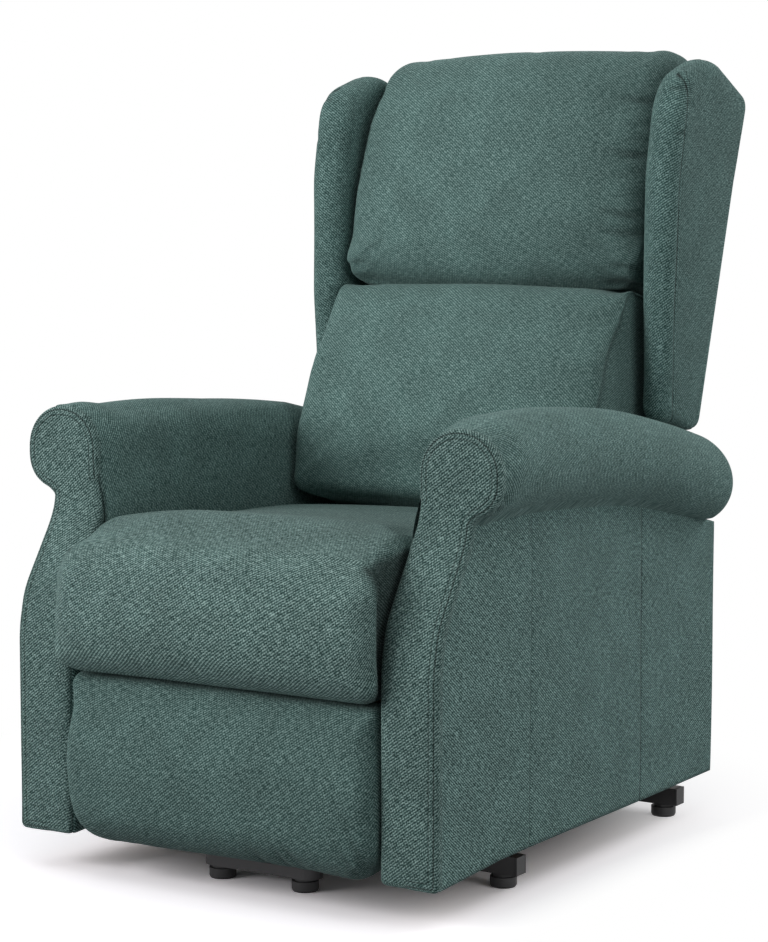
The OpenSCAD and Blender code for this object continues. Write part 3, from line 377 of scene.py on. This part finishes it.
def stuffed(edge, spine, rows, near, far, low, high, bend, snap=12.0):
    """Grid of a, b and depth: each row lies between the spine and the edge, moved in by its inset times the bend.
    The pattern lies flat on the two faces and follows the surface's own lengths between them."""
    core = core_of(edge, spine, snap)
    out = edge - core
    reach, inset, turned, share = (rows[:, i:i + 1] for i in range(4))
    inset = inset * bend
    flat = core + (reach * (1 - inset / np.maximum(np.linalg.norm(out, axis=1), 1e-6)))[..., None] * out
    depth = (1 - share) * (low + turned * bend) + share * (high - turned * bend) + 0 * flat[..., 0]
    loop = np.vstack([edge, edge[:1]])
    run = np.concatenate([[0], np.cumsum(np.linalg.norm(np.diff(loop, axis=0), axis=1))])
    across = np.cumsum(np.hypot(np.diff(inset + 0 * depth, axis=0), np.diff(depth, axis=0)), 0)
    across = np.vstack([0 * depth[:1], across]) + low
    across = np.concatenate([across, across[:, :1]], 1)
    pattern = np.concatenate([flat, flat[:, :1]], 1)
    pattern[near:far] = np.stack(np.broadcast_arrays(across, run[None]), -1)[near:far]
    return flat[..., 0], flat[..., 1], depth, pattern


def ease(share):
    """Smooth step from 0 to 1."""
    share = np.clip(share, 0, 1)
    return share * share * (3 - 2 * share)


def ramp(value, low, high):
    """Straight rise from 0 where the value is low to 1 where it is high."""
    return np.clip((value - low) / (high - low), 0, 1)


def bell(distance, width):
    """A smooth hill: exp of minus the square of distance over width."""
    return np.exp(-(distance / width) ** 2)


def placed(hand, x):
    """An arm's x on that hand: the left arm stands 3 mm further out."""
    return hand * x - 1.5 + 1.5 * hand


hands = (("right", 1.0), ("left", -1.0))
front_y, bend_z, bend_y = -450.0, 350.0, 11.0
lean_y, lean_z = -365.0, 498.0
disc_y, disc_z, disc_r, roll_x = -372.0, 557.8, 57.0, 309.0


def front_line(z):
    """How far back the arm's front lies at height z: upright, then leaning, then upright at the scroll."""
    soft = np.array([[60, front_y], [bend_z - 26, front_y], [bend_z + 26, front_y + bend_y],
                     [lean_z - 30, lean_y - 14], [lean_z - 4, lean_y - 5], [lean_z + 24, disc_y - 0.5],
                     [700, disc_y]])
    return sum(np.interp(z + s, soft[:, 0], soft[:, 1]) for s in (-14, -7, 0, 7, 14)) / 5


arm_cloth = tweed("arm_tweed", 1.0, 0.92, 0.96, 0.97, [("hemline", 5.0, 1.7, 0.66), ("hemline", 12.0, 1.4, 0.50)])
inner_x, outer_x, bottom_z = 241.5, 326.0, 52.5
arm_edge = rounded([[inner_x, bottom_z, 7], [outer_x, bottom_z, 7], [outer_x, 498, 2], [336, 506, 10],
                    [369, 520, 44], [369, disc_z + disc_r, 56.5], [251, disc_z + disc_r, 56.5], [251, 520, 60],
                    [inner_x, 470, 60]], 14)
arm_edge = even(arm_edge, 300)
rows, near, far = section(21, 6, 6)
a, b, deep, pattern = stuffed(arm_edge, [[282, 100], [282, 480], [roll_x, disc_z]], rows, near, far, -3.0, 16.0, 7.0)
dense = even(arm_edge, 1200)[None]
inset = np.array([np.linalg.norm(row[:, None] - dense, axis=-1).min(-1) for row in np.stack([a, b], -1)])
outer = ease(np.maximum((a - 278) / 12, (b - 520) / 30))
deep = deep + 4.5 * (1 - outer) * np.clip(1 - inset / 24, 0, 1) ** 2 * np.clip(1 - (deep + 3) / 12, 0, 1)
hem = (bell(inset - 5.0, 1.6) + 0.6 * bell(inset - 12.0, 1.6)) * (deep < 6) * outer
# Painted shade down the facing's inner edge, in the hollow beside the seat's nose.
hollow_shade = (1 - outer) * bell(inset, 10) * ramp(b, 300, 360) * np.clip((505 - b) / 40, 0, 1)
around = np.arctan2(b - disc_z, a - roll_x)
gather = np.sin(around * 23 + 2.0 * np.sin(around * 5)) * bell(around - 1.7, 0.9) * 0.8
gather = gather + np.sin(around * 47) * bell(around - 0.95, 0.30) * 1.7
gather = gather * bell(inset - 9, 5) * (b > disc_z)
for side, hand in hands:
    raised = 3.0 * (hand < 0) * ease((b - 520) / 40)
    points = np.stack([placed(hand, a), front_line(b) + deep + 1.4 * hem + gather, b + raised], -1)
    face = sew(side + "_arm_front_cover", points, pattern * [-hand, 1], arm_cloth, "chassis", side + "_arm_front",
               seam=hollow_shade * 0.7, hemline=np.where((outer > 0) & (deep < 10), inset, 50))

# Arm rolls
# A foam-wrapped roll along the top of each arm. Its cover is gathered behind the scroll's
# seam, pulled over the roll and down the inside of the arm, and tucked under on the outside.
roll_r, roll_front, roll_rear, roll_end = 64.0, disc_y + 2.0, 331.0, 54.0
close, inside_x, inside_z = 44.0, 240.3, 424.0


def crest(y):
    """Height of the roll's highest line: a parabola with its top near the front."""
    return 630.0 - 70.0 * ((y + 270.0) / 580.0) ** 2


end_y = roll_rear - roll_end
ys = np.concatenate([roll_front + close * np.linspace(0, 1, 28) ** 1.5,
                     np.linspace(roll_front + close, end_y, 84)[1:],
                     end_y + roll_end * np.sin(np.linspace(0, np.pi / 2, 13))[1:]])[:, None]
ahead = ys - roll_front
radius = disc_r - 5.0 + 6.0 * ease(ahead / 7) + 5.9 * ease(ahead / 48)
radius = np.where(ys < end_y, radius, roll_r * np.sqrt(np.clip(1 - ((ys - end_y) / roll_end) ** 2, 0, 1)))
middle_z = disc_z + (crest(ys) - 7.0 * ease((ys - 60) / 240) - roll_r - disc_z) * ease(ahead / 60)
arc = np.radians(np.linspace(-62, 180, 120))[None]
drop = np.linspace(0, 1, 15)[None, 1:]
pleat = np.sin(arc * 17 + 1.7 * np.sin(arc * 3.1)) * 0.5 + np.sin(arc * 29 + 2.0) * 0.25
tuck = bell(ahead - 12, 16) * bell(arc + 0.75, 0.38)
fold = 2.6 * pleat * bell(ahead - 9, 12) * bell(arc - 1.25, 0.75) + 2.4 * tuck * np.sin(arc * 21 + ahead / 6)
sag = 0.9 * np.sin(ys / 71 + arc * 2.0) + 0.6 * np.sin(ys / 37 - arc * 3.3)
full = radius + fold + sag * np.clip(radius - 54, 0, 10) / 10
turned_in = roll_x - full[:, -1:]
down_x = turned_in - (turned_in - inside_x) * ease(drop * 1.6) * (radius > 50)
foot = np.where(ys < end_y, inside_z, middle_z - (middle_z - inside_z) * radius / roll_r)
a = np.concatenate([roll_x + full * np.cos(arc), down_x], 1)
c = np.concatenate([middle_z + full * np.sin(arc), middle_z - drop * (middle_z - foot)], 1)
y = np.broadcast_to(ys, a.shape)
run = np.concatenate([(arc[0] * roll_r), np.pi * roll_r + 135 * drop[0], [np.pi * roll_r + 320]])
pattern = np.stack(np.broadcast_arrays(run[None], ys), -1)
# A dark line along the scroll's seam, and painted shade in the tucks of the gathers.
shade = 0.9 * bell(y - roll_front - 1, 4.0) + 0.7 * np.pad(tuck, ((0, 0), (0, drop.size)))
roll_cloth = tweed("roll_tweed", 1.0, 1.0, 0.7, 0.95)
for side, hand in hands:
    flatter = 13.0 * ramp(c, 590, 620) * ease(ahead / 90) - 3.0 * (1 - ease(ahead / 60)) * (c > 540)
    points = np.stack([placed(hand, a), y, c - flatter * (hand < 0)], -1)
    cover = sew(side + "_arm_roll_cover", points, pattern, roll_cloth, "chassis", side + "_arm_roll", seam=shade)

# Arm sides
# Panels of board, lightly padded, with the tweed drawn down flat from under the roll and
# stapled below. Two upright seams divide the outer cover.
seams_y, low_z, behind_front = (-218.0, 95.0), 62.5, 5.5
side_cloth = tweed("side_tweed", 1.0, 1.02, 1.10, 0.92, [("x", seams_y[0] / 1000, 0.0018, 0.32),
                                                         ("x", seams_y[1] / 1000, 0.0021, 0.66)])
for side, hand in hands:
    for layer, plane, way, end, seams, steps in (("outer", 325.8, 1.0, 336.4, seams_y, (340, 60)),
                                                 ("inner", 241.4, -1.0, 327.0, (), (240, 40))):
        share = np.linspace(0, 1, steps[0])[None]
        up = np.linspace(0, 1, steps[1])[:, None]
        start = front_line(low_z + 437.5 * up) + behind_front
        y = start + (end - start) * share
        top = crest(np.clip(y, disc_y, None)) - 2 * roll_r + 2.6 if layer == "outer" else 440.0 + 0.0 * y
        top = np.minimum(top, 500.0 + 400 * np.clip((y - lean_y + 6) / 60, 0, 1))
        low = low_z - 8.0 * np.clip(1 - (y - start) / 150, 0, 1)
        z = low + (top - low) * up
        start = front_line(z) + behind_front
        y = start + (end - start) * share
        padding = 2.2 * (np.sin(np.pi * share) * np.sin(np.pi * up)) ** 0.35
        billow = 0.7 * np.sin(y / 83 + z / 140) + 0.5 * np.sin(z / 57 - y / 210)
        groove = sum(bell(y - s, 2.4) for s in seams) + 0.0 * y
        edge = 2.5 * np.clip(1 - (y - start) / 4.0, 0, 1) ** 2 + 7.0 * np.clip(1 - (end - y) / 9.0, 0, 1) ** 2
        x = plane + way * (padding + billow - 0.9 * groove - edge - 1.6)
        under_pocket = np.exp(-(((y + 296) / 44) ** 4) - ((z - 308) / 92) ** 4)
        x = x - 4.6 * (hand < 0) * (way > 0) * under_pocket
        x = np.where(way > 0, x, np.maximum(x, 240.8))
        skin = sew(f"{side}_{layer}_panel_cover", np.stack([hand * x, y, z], -1), np.stack([y, z], -1), side_cloth,
                   "chassis", f"{side}_{layer}_panel", finer=0, seam=groove * 0.12)
        board = skin.modifiers.new("board", "SOLIDIFY")
        board.thickness = 0.012
        board.offset = -1.0


# Seat cushion
# Foam on springs in a sewn cover: a full crowned nose that hangs over the front rail,
# a top that falls to the rear, and side strips joined by a seam along each edge.
def values_of(data, key, size=1):
    """An array of one value, or of a row of size values, for each point."""
    values = np.empty(len(data) * size, np.float32)
    data.foreach_get(key, values)
    return values.reshape(-1, size) if size > 1 else values


def puff(piece, force, limit, keep_in, frames=20):
    """The cover is blown up as cloth over some frames with its held points fixed. No point moves further than
    limit: a move m becomes m * limit / (limit + m). keep_in then holds the piece between its neighbours."""
    mesh = piece.data
    before = values_of(mesh.vertices, "co", 3).astype(float)
    after = before
    held = values_of(mesh.attributes["held"].data, "value")
    group = piece.vertex_groups.new(name="held")
    group.add(np.flatnonzero(held > 0.5).tolist(), 1.0, "REPLACE")
    cloth = piece.modifiers.new("cloth", "CLOTH")
    piece.modifiers.move(len(piece.modifiers) - 1, 0)
    cloth.settings.quality = 5
    cloth.settings.mass = 0.3
    cloth.settings.tension_stiffness = 15
    cloth.settings.compression_stiffness = 15
    cloth.settings.shear_stiffness = 5
    cloth.settings.bending_stiffness = 0.5
    cloth.settings.use_pressure = True
    cloth.settings.uniform_pressure_force = force
    cloth.settings.effector_weights.gravity = 0.0
    cloth.settings.vertex_group_mass = "held"
    cloth.point_cache.frame_start = 1
    cloth.point_cache.frame_end = frames
    finer = piece.modifiers["finer"]
    finer.show_viewport = False
    for step in range(1, frames + 1):
        scene.frame_set(step)
    shaped = piece.evaluated_get(bpy.context.evaluated_depsgraph_get()).to_mesh()
    after = values_of(shaped.vertices, "co", 3).astype(float)
    piece.modifiers.remove(cloth)
    piece.vertex_groups.clear()
    finer.show_viewport = True
    scene.frame_set(1)
    move = after - before
    move *= limit / (limit + np.linalg.norm(move, axis=1, keepdims=True))
    shape = keep_in(before + move)
    mesh.vertices.foreach_set("co", shape.ravel())
    mesh.update()
    return shape


def settle(piece, shape, groove, lumps, gathers=None):
    """Along each mark of seams and painted shade the cover is drawn in by groove, and everywhere it is uneven by a
    sum of three slow waves with that height. gathers adds a height for each point."""
    mesh = piece.data
    normal = values_of(mesh.vertices, "normal", 3)
    seam = values_of(mesh.attributes["seam"].data, "value")
    x, y, z = shape.T * 1000
    waves = np.sin(x / 61 + y / 47 + z / 83) + np.sin(y / 33 - x / 90) * 0.6 + np.sin(z / 29 + x / 53) * 0.5
    height = 0.5 * lumps * waves - groove * seam + (gathers(x, y, z) if gathers else 0.0)
    mesh.vertices.foreach_set("co", (shape + normal * height[:, None] / 1000).ravel())
    mesh.update()


seat_half = 235.0
seat_edge = even(rounded([[-402, 277, 5], [-401, 296.3, 4], [190, 296.3, 18], [190, 420, 14], [90, 450, 60],
                          [-250, 474, 240], [-390, 491, 90], [-488, 447, 72], [-494, 345, 90], [-480, 277, 44]], 14),
                 260)
rows, near, far = section(9, 8, 66)
nose = (np.interp(seat_edge[:, 0], [-470, -380, 100], [40, 34, 22])
        * np.interp(seat_edge[:, 1], [277, 300, 320, 430, 475], [0.4, 0.6, 1, 1, 0.6]))
soft, firm = (stuffed(seat_edge, [[-372, 385], [100, 378]], rows, near, far, -seat_half, seat_half, bend, 16.0)
              for bend in (nose, np.minimum(nose, 27.0)))
half = len(rows) // 2
a, b, deep = (np.concatenate([one[:half], two[half:]]) for one, two in zip(soft[:3], firm))
pattern = soft[3]
seam = np.zeros(len(rows))
seam[[near - 1, near, far - 1, far]] = 1.0
rests = ((b < 300) & (a > -395)) | (a > 186)
held = np.maximum(seam[:, None], rests)
deep = deep * (1 + 0.072 * ramp(-a, 451, 460))
slack = 8 + 5 * ease((-deep - 120) / 110) * ease((-240 - a) / 100)
b = b - slack * (deep / seat_half) ** 2 * ramp(b, 400, 470)
# Painted shade: on the nose's side strips in front of the arm facings, over the top, and more towards the top's rear.
nose_side_shade = ease((np.abs(deep) - 224) / 8) * ease((a + 474) / 12) * ease((466 - b) / 16)
shade = 0.36 * ease((b - 448) / 36) + 0.34 * ease((a + 370) / 110) * (b > 400)
seat_cloth = tweed("seat_tweed", 1.0, 1.02, 0.92, 0.98)
seat = sew("seat_cover", np.stack([deep, a, b], -1), pattern, seat_cloth, "chassis", "seat_cushion",
           seam=np.maximum(seam[:, None] * ramp(a, -470, -410), 1.3 * nose_side_shade + shade), held=held)


def between_arms(p):
    """The cushion stays inside the arms behind their fronts, in front of the back and above its springs."""
    room = 0.2395 + 0.0135 * np.clip((-0.4535 - p[:, 1]) / 0.006, 0, 1)
    p[:, 0] = np.clip(p[:, 0], -room, room)
    p[:, 1] = np.clip(p[:, 1], -0.4965, 0.1915)
    p[:, 2] = np.where(p[:, 1] > -0.4015, np.maximum(p[:, 2], 0.2962), np.maximum(p[:, 2], 0.2768))
    return p


settle(seat, puff(seat, 3.0, 0.006, between_arms), 2.0, 1.3)

# Legrest cushion
# A padded board that hangs below the seat: tweed pulled over foam and stapled behind.
board_y, leg_half = -407.3, 238.0
leg_edge = even(rounded([[board_y, 55, 5], [board_y, 274.3, 5], [-452, 274.3, 20], [-480, 170, 150],
                         [-465, 44, 36]], 14), 150)
rows, near, far = section(7, 8, 78)
bend = np.interp(leg_edge[:, 1], [60, 110, 230, 268], [34, 22, 20, 10])
a, b, deep, pattern = stuffed(leg_edge, [[-433, 86], [-433, 243]], rows, near, far, -leg_half, leg_half, bend)
lift = np.where(deep < 0, 16, 5)
b = b + np.clip((110 - b) / 60, 0, 1) * lift * ramp(np.abs(deep), 178, leg_half) ** 2


def folds(x, z):
    """Soft folds of the lower edge: narrow valleys around short leaning lines, each fading along its line."""
    lines = ((104, 66, -0.5, 24), (122, 74, -0.7, 20), (206, 78, -0.45, 34), (222, 92, -0.35, 40), (66, 60, -0.4, 16))
    return sum(bell(x - at - (z - height) * slope, 4.2) * bell(z - height, long) for at, height, slope, long in lines)


# Painted shade: darker towards the bottom edge, and in the folds' valleys.
under_shade = 0.55 * ease((112 - b) / 62) + 0.45 * folds(deep, b)
held = (a > -410) * 1.0
leg_cloth = tweed("legrest_tweed", 1.0, 0.86, 0.75, 0.95)
legrest = sew("legrest_cover", np.stack([deep, a, b], -1), pattern, leg_cloth, "legrest_panel", "legrest_cushion",
              seam=under_shade, held=held)


def on_the_board(p):
    """The pad stays in front of its board, below the seat's nose and between the arms."""
    return np.clip(p, (-0.2395, -0.484, 0.0435), (0.2395, board_y / 1000, 0.2745))


def drape(x, y, z):
    """The folds' valleys, and slow waves below the upper edge."""
    return 0.9 * np.sin(x / 23 + z / 41) * ramp(z, 230, 260) - 3.0 * folds(x, z)


settle(legrest, puff(legrest, 2.5, 0.005, on_the_board), 0.0, 1.5, drape)

# Back cushions
# Two bags of fibre, head and lumbar, each crowned and drawn in along its side seams.
lean = math.radians(17.4)
bag_rear, bags_meet = -43.3, 535.0


def leaned(x, a, b):
    """Points of the back: a is minus the depth from its rear face, b runs up along its lean."""
    return np.stack([x, 222 + b * math.sin(lean) + a * math.cos(lean), 215 + b * math.cos(lean) - a * math.sin(lean)],
                    -1)


def creases(side, z):
    """Five narrow valleys that start at the side seam, rise a little inwards and fade out 60 mm in, summed."""
    return sum(bell(z - at - 0.10 * side, 5.5) for at in (765, 846, 872, 958, 1036)) * bell(side - 26, 30)


back_cloth = tweed("back_tweed", -1.0, 1.10, 0.55, 0.96)
for name, corners, spine, half, bend, lumps in (
        ("head", [[bag_rear, 535.4, 8], [bag_rear, 862, 30], [-84, 901, 40], [-150, 894, 60], [-190, 785, 160],
                  [-196, 665, 150], [-184, 535.4, 40]], [[-118, 612], [-118, 822]], 249.0, 38.0, 1.4),
        ("lumbar", [[bag_rear, 197, 8], [bag_rear, 534.6, 8], [-184, 534.6, 40], [-230, 410, 190], [-246, 284, 90],
                    [-231, 193, 22]], [[-132, 285], [-120, 450]], 243.5, 20.0, 1.3)):
    edge = even(rounded(corners, 12), 190)
    rows, near, far = section(9, 8, 66)
    crown = (bend * np.interp(edge[:, 0], [-150, -60], [1, 0.5])
             * np.interp(np.abs(edge[:, 1] - bags_meet), [4, 60], [0.4, 1]))
    a, b, deep, pattern = stuffed(edge, spine, rows, near, far, -half, half, crown, 14.0)
    seam = np.zeros(len(rows))
    seam[[near - 1, near, far - 1, far]] = 1.0
    if name == "head":
        b = b + (14 * (1 - (deep / half) ** 2) + deep * 0.014) * ramp(b, 700, 880)
    else:
        deep = deep * (1 + 0.022 * ease((b - 420) / 60))
    held = np.maximum(seam[:, None], (a > -46) | (b > 533.5) * (b < 536.5) * (a > -120))
    points = leaned(deep, a, b)
    # Painted shade: darker towards the right side, more on the head, a darker band by the right seam, and in the
    # head's creases.
    shade = (0.48 if name == "head" else 0.24) * ease((deep + 70) / 300) + 0.22 * ease((deep - half + 50) / 45)
    shade = shade + 0.55 * creases(half - deep, points[..., 2]) * (name == "head")
    bag = sew(name + "_cover", points, pattern, back_cloth, "back", name + "_cushion",
              seam=np.maximum(seam[:, None], shade), held=held)

    def within_wings(p):
        """The bag stays between the wings, and below their feet between the arms."""
        room = 0.2505 if name == "head" else 0.2445 + 0.0055 * np.clip((p[:, 2] - 0.60) / 0.05, 0, 1)
        p[:, 0] = np.clip(p[:, 0], -room, room)
        return p

    def gathers(x, y, z):
        """Short creases that start at the side seams, and one or two slow ones across the bag."""
        side = half - np.abs(x)
        short = np.sin(z / 4.6 + 2.0 * np.sin(z / 31)) * bell(side - 30, 16) * (1.0 + 0.5 * np.sin(z / 47))
        dome = 5.0 * ramp(np.abs(x), 150, 240) ** 2 * (z < 800) * ramp(z, 640, 710)
        slow = 0.6 * np.sin(z / 17 + x / 210) * bell(x - 60, 150)
        return 1.4 * short * (z > 640) - 3.2 * creases(half - x, z) - dome + slow

    settle(bag, puff(bag, 2.2, 0.010, within_wings), 2.4, lumps, gathers)

# Wings
# Padded side pieces: a front band wraps round the edge and is joined to the outer face
# by a seam that follows the edge two fingers in.
wing_in, wing_out, wing_wide, rake = 252.3, 304.5, 310.0, 0.3135
wing_edge = even(rounded([[319, 560, 12], [464.5, 1037, 14], [358, 1095, 90], [246, 1060, 74], [219, 930, 240],
                          [214, 755, 240], [222, 580, 22]], 12), 260)
rows, near, far = section(14, 8, 9)
rows = np.vstack([rows[:far], np.linspace(1, 0, 50)[:, None] * [1, 0, 0, 0] + [0, 1, 0, 1]])
rear = np.interp(wing_edge[:, 0] - (wing_edge[:, 1] - 565) * rake, [230, 300], [24, 9])
a, b, deep, pattern = stuffed(wing_edge, [[288, 650], [345, 985]], rows, near, far, wing_in, wing_out, rear)
deep = deep + 6.0 * (b - 850) / 250 * (deep - wing_in) / (wing_wide - wing_in)
behind = a - np.interp(b, [585, 930, 1066], [222, 219, 246])
deep = deep + np.clip((wing_wide - deep) / (wing_wide - wing_in), 0, 1) * np.clip(1 - behind / 70, 0, 1)
front = np.array([[232, 560], [220, 600], [214, 755], [218, 920], [246, 1062], [272, 1087]])
offset = a - np.interp(b, front[:, 1], front[:, 0]) - np.interp(b, [600, 830, 1060], [22, 24, 22])
outside = rows[:, 3:] > 0.99
seam = bell(offset, 2.6) * outside
pucker = sum(bell(b - at - 0.15 * offset, 3.2) for at in (1050, 989)) * bell(offset + 8, 9)
wing_cloth = tweed("wing_tweed", 1.0, 0.93, 0.78, 0.91, [("hemline", 50.0, 1.9, 0.62), ("hemline", 57.0, 1.5, 0.42)])
held = np.maximum(seam > 0.6, (deep < wing_in + 0.3) | (a > 318 + (b - 565) * rake - 6))
for side, hand in hands:
    wide = deep + 5.0 * (hand < 0) * (deep - wing_in) / (wing_out - wing_in)
    tall = b + (2.5 + 5.5 * hand) * ease((b - 1020) / 60)
    # Besides the seam line, painted shade darkens the outer face and the two puckers across the band.
    wing = sew(side + "_wing_cover", np.stack([hand * wide, a, tall], -1), pattern, wing_cloth, "back",
               side + "_wing", seam=seam * 0.5 + (0.30 * ease(offset / 12) + 0.9 * pucker) * outside, held=held,
               hemline=50 + np.where(outside, offset, np.where(offset > 0, 45, -45)))

    def clear_of_bags(p):
        """The wing stays outside the bags and inside the arm's width."""
        p[:, 0] = hand * np.clip(hand * p[:, 0], 0.2522, 0.319)
        return p

    settle(wing, puff(wing, 1.6, 0.007, clear_of_bags), 2.0, 0.8)


# Rear cover and back panel
# Boards covered in plain tweed; the back's panel is wider above the arms.
def flat_cover(name, edge, spine, low, high, place, cloth, body, node, bend=4.0, count=260):
    """A thin stuffed shape over a flat outline, with that depth and a small rim."""
    edge = even(rounded(edge, 6), count)
    rows, near, far = section(8, 4, 4)
    a, b, deep, pattern = stuffed(edge, spine, rows, near, far, low, high, bend, 14.0)
    made = sew(name, place(a, b, deep), pattern, cloth, body, node, seam=0.0 * a)


low_half, high_half, neck = 238, 297, 363.6
flat_cover("back_panel_cover",
           [[-low_half, 88, 10], [low_half, 88, 10], [low_half, neck, 3], [high_half, neck, 12], [high_half, 822, 20],
            [275, 848, 20], [-275, 848, 20], [-high_half, 822, 20], [-high_half, neck, 12], [-low_half, neck, 3]],
           [[0, 200], [0, 720]], -12.0, 0.0, lambda a, b, deep: leaned(a, deep, b), back_cloth, "back", "back_panel")
flat_cover("rear_cover_cloth",
           [[-306, 62, 3], [306, 62, 3], [306, 413, 3], [241, 413, 3], [241, 250, 8], [-241, 250, 8], [-241, 413, 3],
            [-306, 413, 3]],
           [[-270, 156], [270, 156]], 328.0, 336.0, lambda a, b, deep: np.stack([a, deep, b], -1), arm_cloth,
           "chassis", "rear_cover", bend=3.0)


# Handset and pocket
# A moulded handset with four soft buttons stands in a sewn pouch on the left arm.
# A row of thread stitches follows the pouch's hem.
def stitches(name, line, lift, thread, body, pitch=5.2, long=3.0, thick=0.4):
    """A row of thread stitches along a line in millimetres: at equal distances a six-sided spindle lies along the
    line, raised along lift, with its radius falling to a third at its ends."""
    line = np.array(line, float)
    run = np.linalg.norm(np.diff(line, axis=0), axis=1).sum()
    at = even(line, max(2, int(run / pitch)), closed=False)
    ahead = np.gradient(at, axis=0)
    ahead /= np.linalg.norm(ahead, axis=1, keepdims=True)
    side = np.cross(ahead, np.array(lift, float))
    side /= np.linalg.norm(side, axis=1, keepdims=True)
    up = np.cross(side, ahead)
    u = np.linspace(-1, 1, 5)[:, None]
    v = np.arange(6) * np.pi / 3
    fat = thick * (1 - 0.66 * u ** 2)
    ring = np.stack(np.broadcast_arrays(u * long / 2, fat * np.cos(v), fat * np.sin(v)), -1).reshape(-1, 3)
    every = (at[:, None] + ring[:, :1] * ahead[:, None] + ring[:, 1:2] * side[:, None]
             + (ring[:, 2:] + thick * 0.4) * up[:, None])
    k, j = np.arange(4)[:, None], np.arange(6)
    quads = np.stack([k * 6 + j, k * 6 + (j + 1) % 6, (k + 1) * 6 + (j + 1) % 6, (k + 1) * 6 + j], -1).reshape(-1, 4)
    shift = np.arange(len(at))[:, None, None] * len(ring)
    caps = [[i * len(ring) + c for c in order] for i in range(len(at)) for order in
            ((5, 4, 3, 2, 1, 0), (24, 25, 26, 27, 28, 29))]
    mesh = bpy.data.meshes.new(name)
    mesh.from_pydata((every.reshape(-1, 3) / 1000).tolist(), [], (quads + shift).reshape(-1, 4).tolist() + caps)
    mesh.shade_smooth()
    mesh.materials.append(thread)
    row = bpy.data.objects.new(name, mesh)
    scene.collection.objects.link(row)
    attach(row, body)


pocket_x, pocket_y, pocket_foot, hem_z = -336.2, -296.0, 240.0, 315.0
turn = np.linspace(0, 2 * np.pi, 97)[None, :-1]
rise = np.linspace(0, 1, 30)
rows = np.vstack([[[0, 0, 237.4], [0.6, 0, 237.0], [0.94, 0, 237.1], [0.99, 0, 238.2]],
                  np.stack([1 + 0 * rise, 0 * rise, pocket_foot + 90.5 * rise], -1),
                  [[1, 0.8, 331.9], [1, 1.9, 331.9], [1, 2.6, 330.5], [1, 2.6, 300], [1, 2.6, 241],
                   [0.95, 2.6, 239.8], [0, 2.6, 239.7]]])
size, inset, height = rows[:, :1], rows[:, 1:2], rows[:, 2:] + 0 * turn
hem = bell(height - hem_z, 1.5) * (inset < 0.5)
swell = (1.2 * np.sin(np.pi * ramp(height, pocket_foot, 332)) - 0.9 * hem) * (inset < 0.5)
x = pocket_x + size * (13.7 - inset) * np.sign(np.cos(turn)) * np.abs(np.cos(turn)) ** 0.3
y = pocket_y + size * (31.0 - inset) * np.sign(np.sin(turn)) * np.abs(np.sin(turn)) ** 0.2
x = x - swell * (x < -346)
run = np.append(turn[0], 2 * np.pi) * 29
pattern = np.stack(np.broadcast_arrays(run[None], rows[:, 2:] - 40 * inset), -1)
pocket = sew("handset_pocket_cloth", np.stack([x, y, height], -1), pattern, arm_cloth, "chassis", "handset_pocket",
             seam=hem * 0.7)
thread, tree, shader = finish_for("thread", 0.6, 0.0, Sheen_Weight=0.2)
where = add(tree, "TexCoord").outputs["Object"]
twist = add(tree, "TexNoise", Vector=where, Scale=1800.0, Detail=1.0)
shade = add(tree, "ValToRGB", Fac=twist.outputs["Fac"])
shade.color_ramp.elements[0].color = (0.020, 0.040, 0.038, 1.0)
shade.color_ramp.elements[1].color = (0.055, 0.095, 0.090, 1.0)
tree.links.new(shade.outputs[0], shader.inputs["Base Color"])
stitches("handset_pocket_stitch", [[-350.3, -325, 317.5], [-351.2, pocket_y, 317.5], [-350.3, -267, 317.5]],
         (-1, 0, 0), thread, "chassis")
dress(moulded, "handset_case")
button = coat("soft_button", 0.0, (120.0, 2.0), (0.42, 0.43, 0.45), (0.52, 0.53, 0.55), (0.42, 0.56))
dress(button, "raise_button", "lower_button", "recline_button", "sit_button")
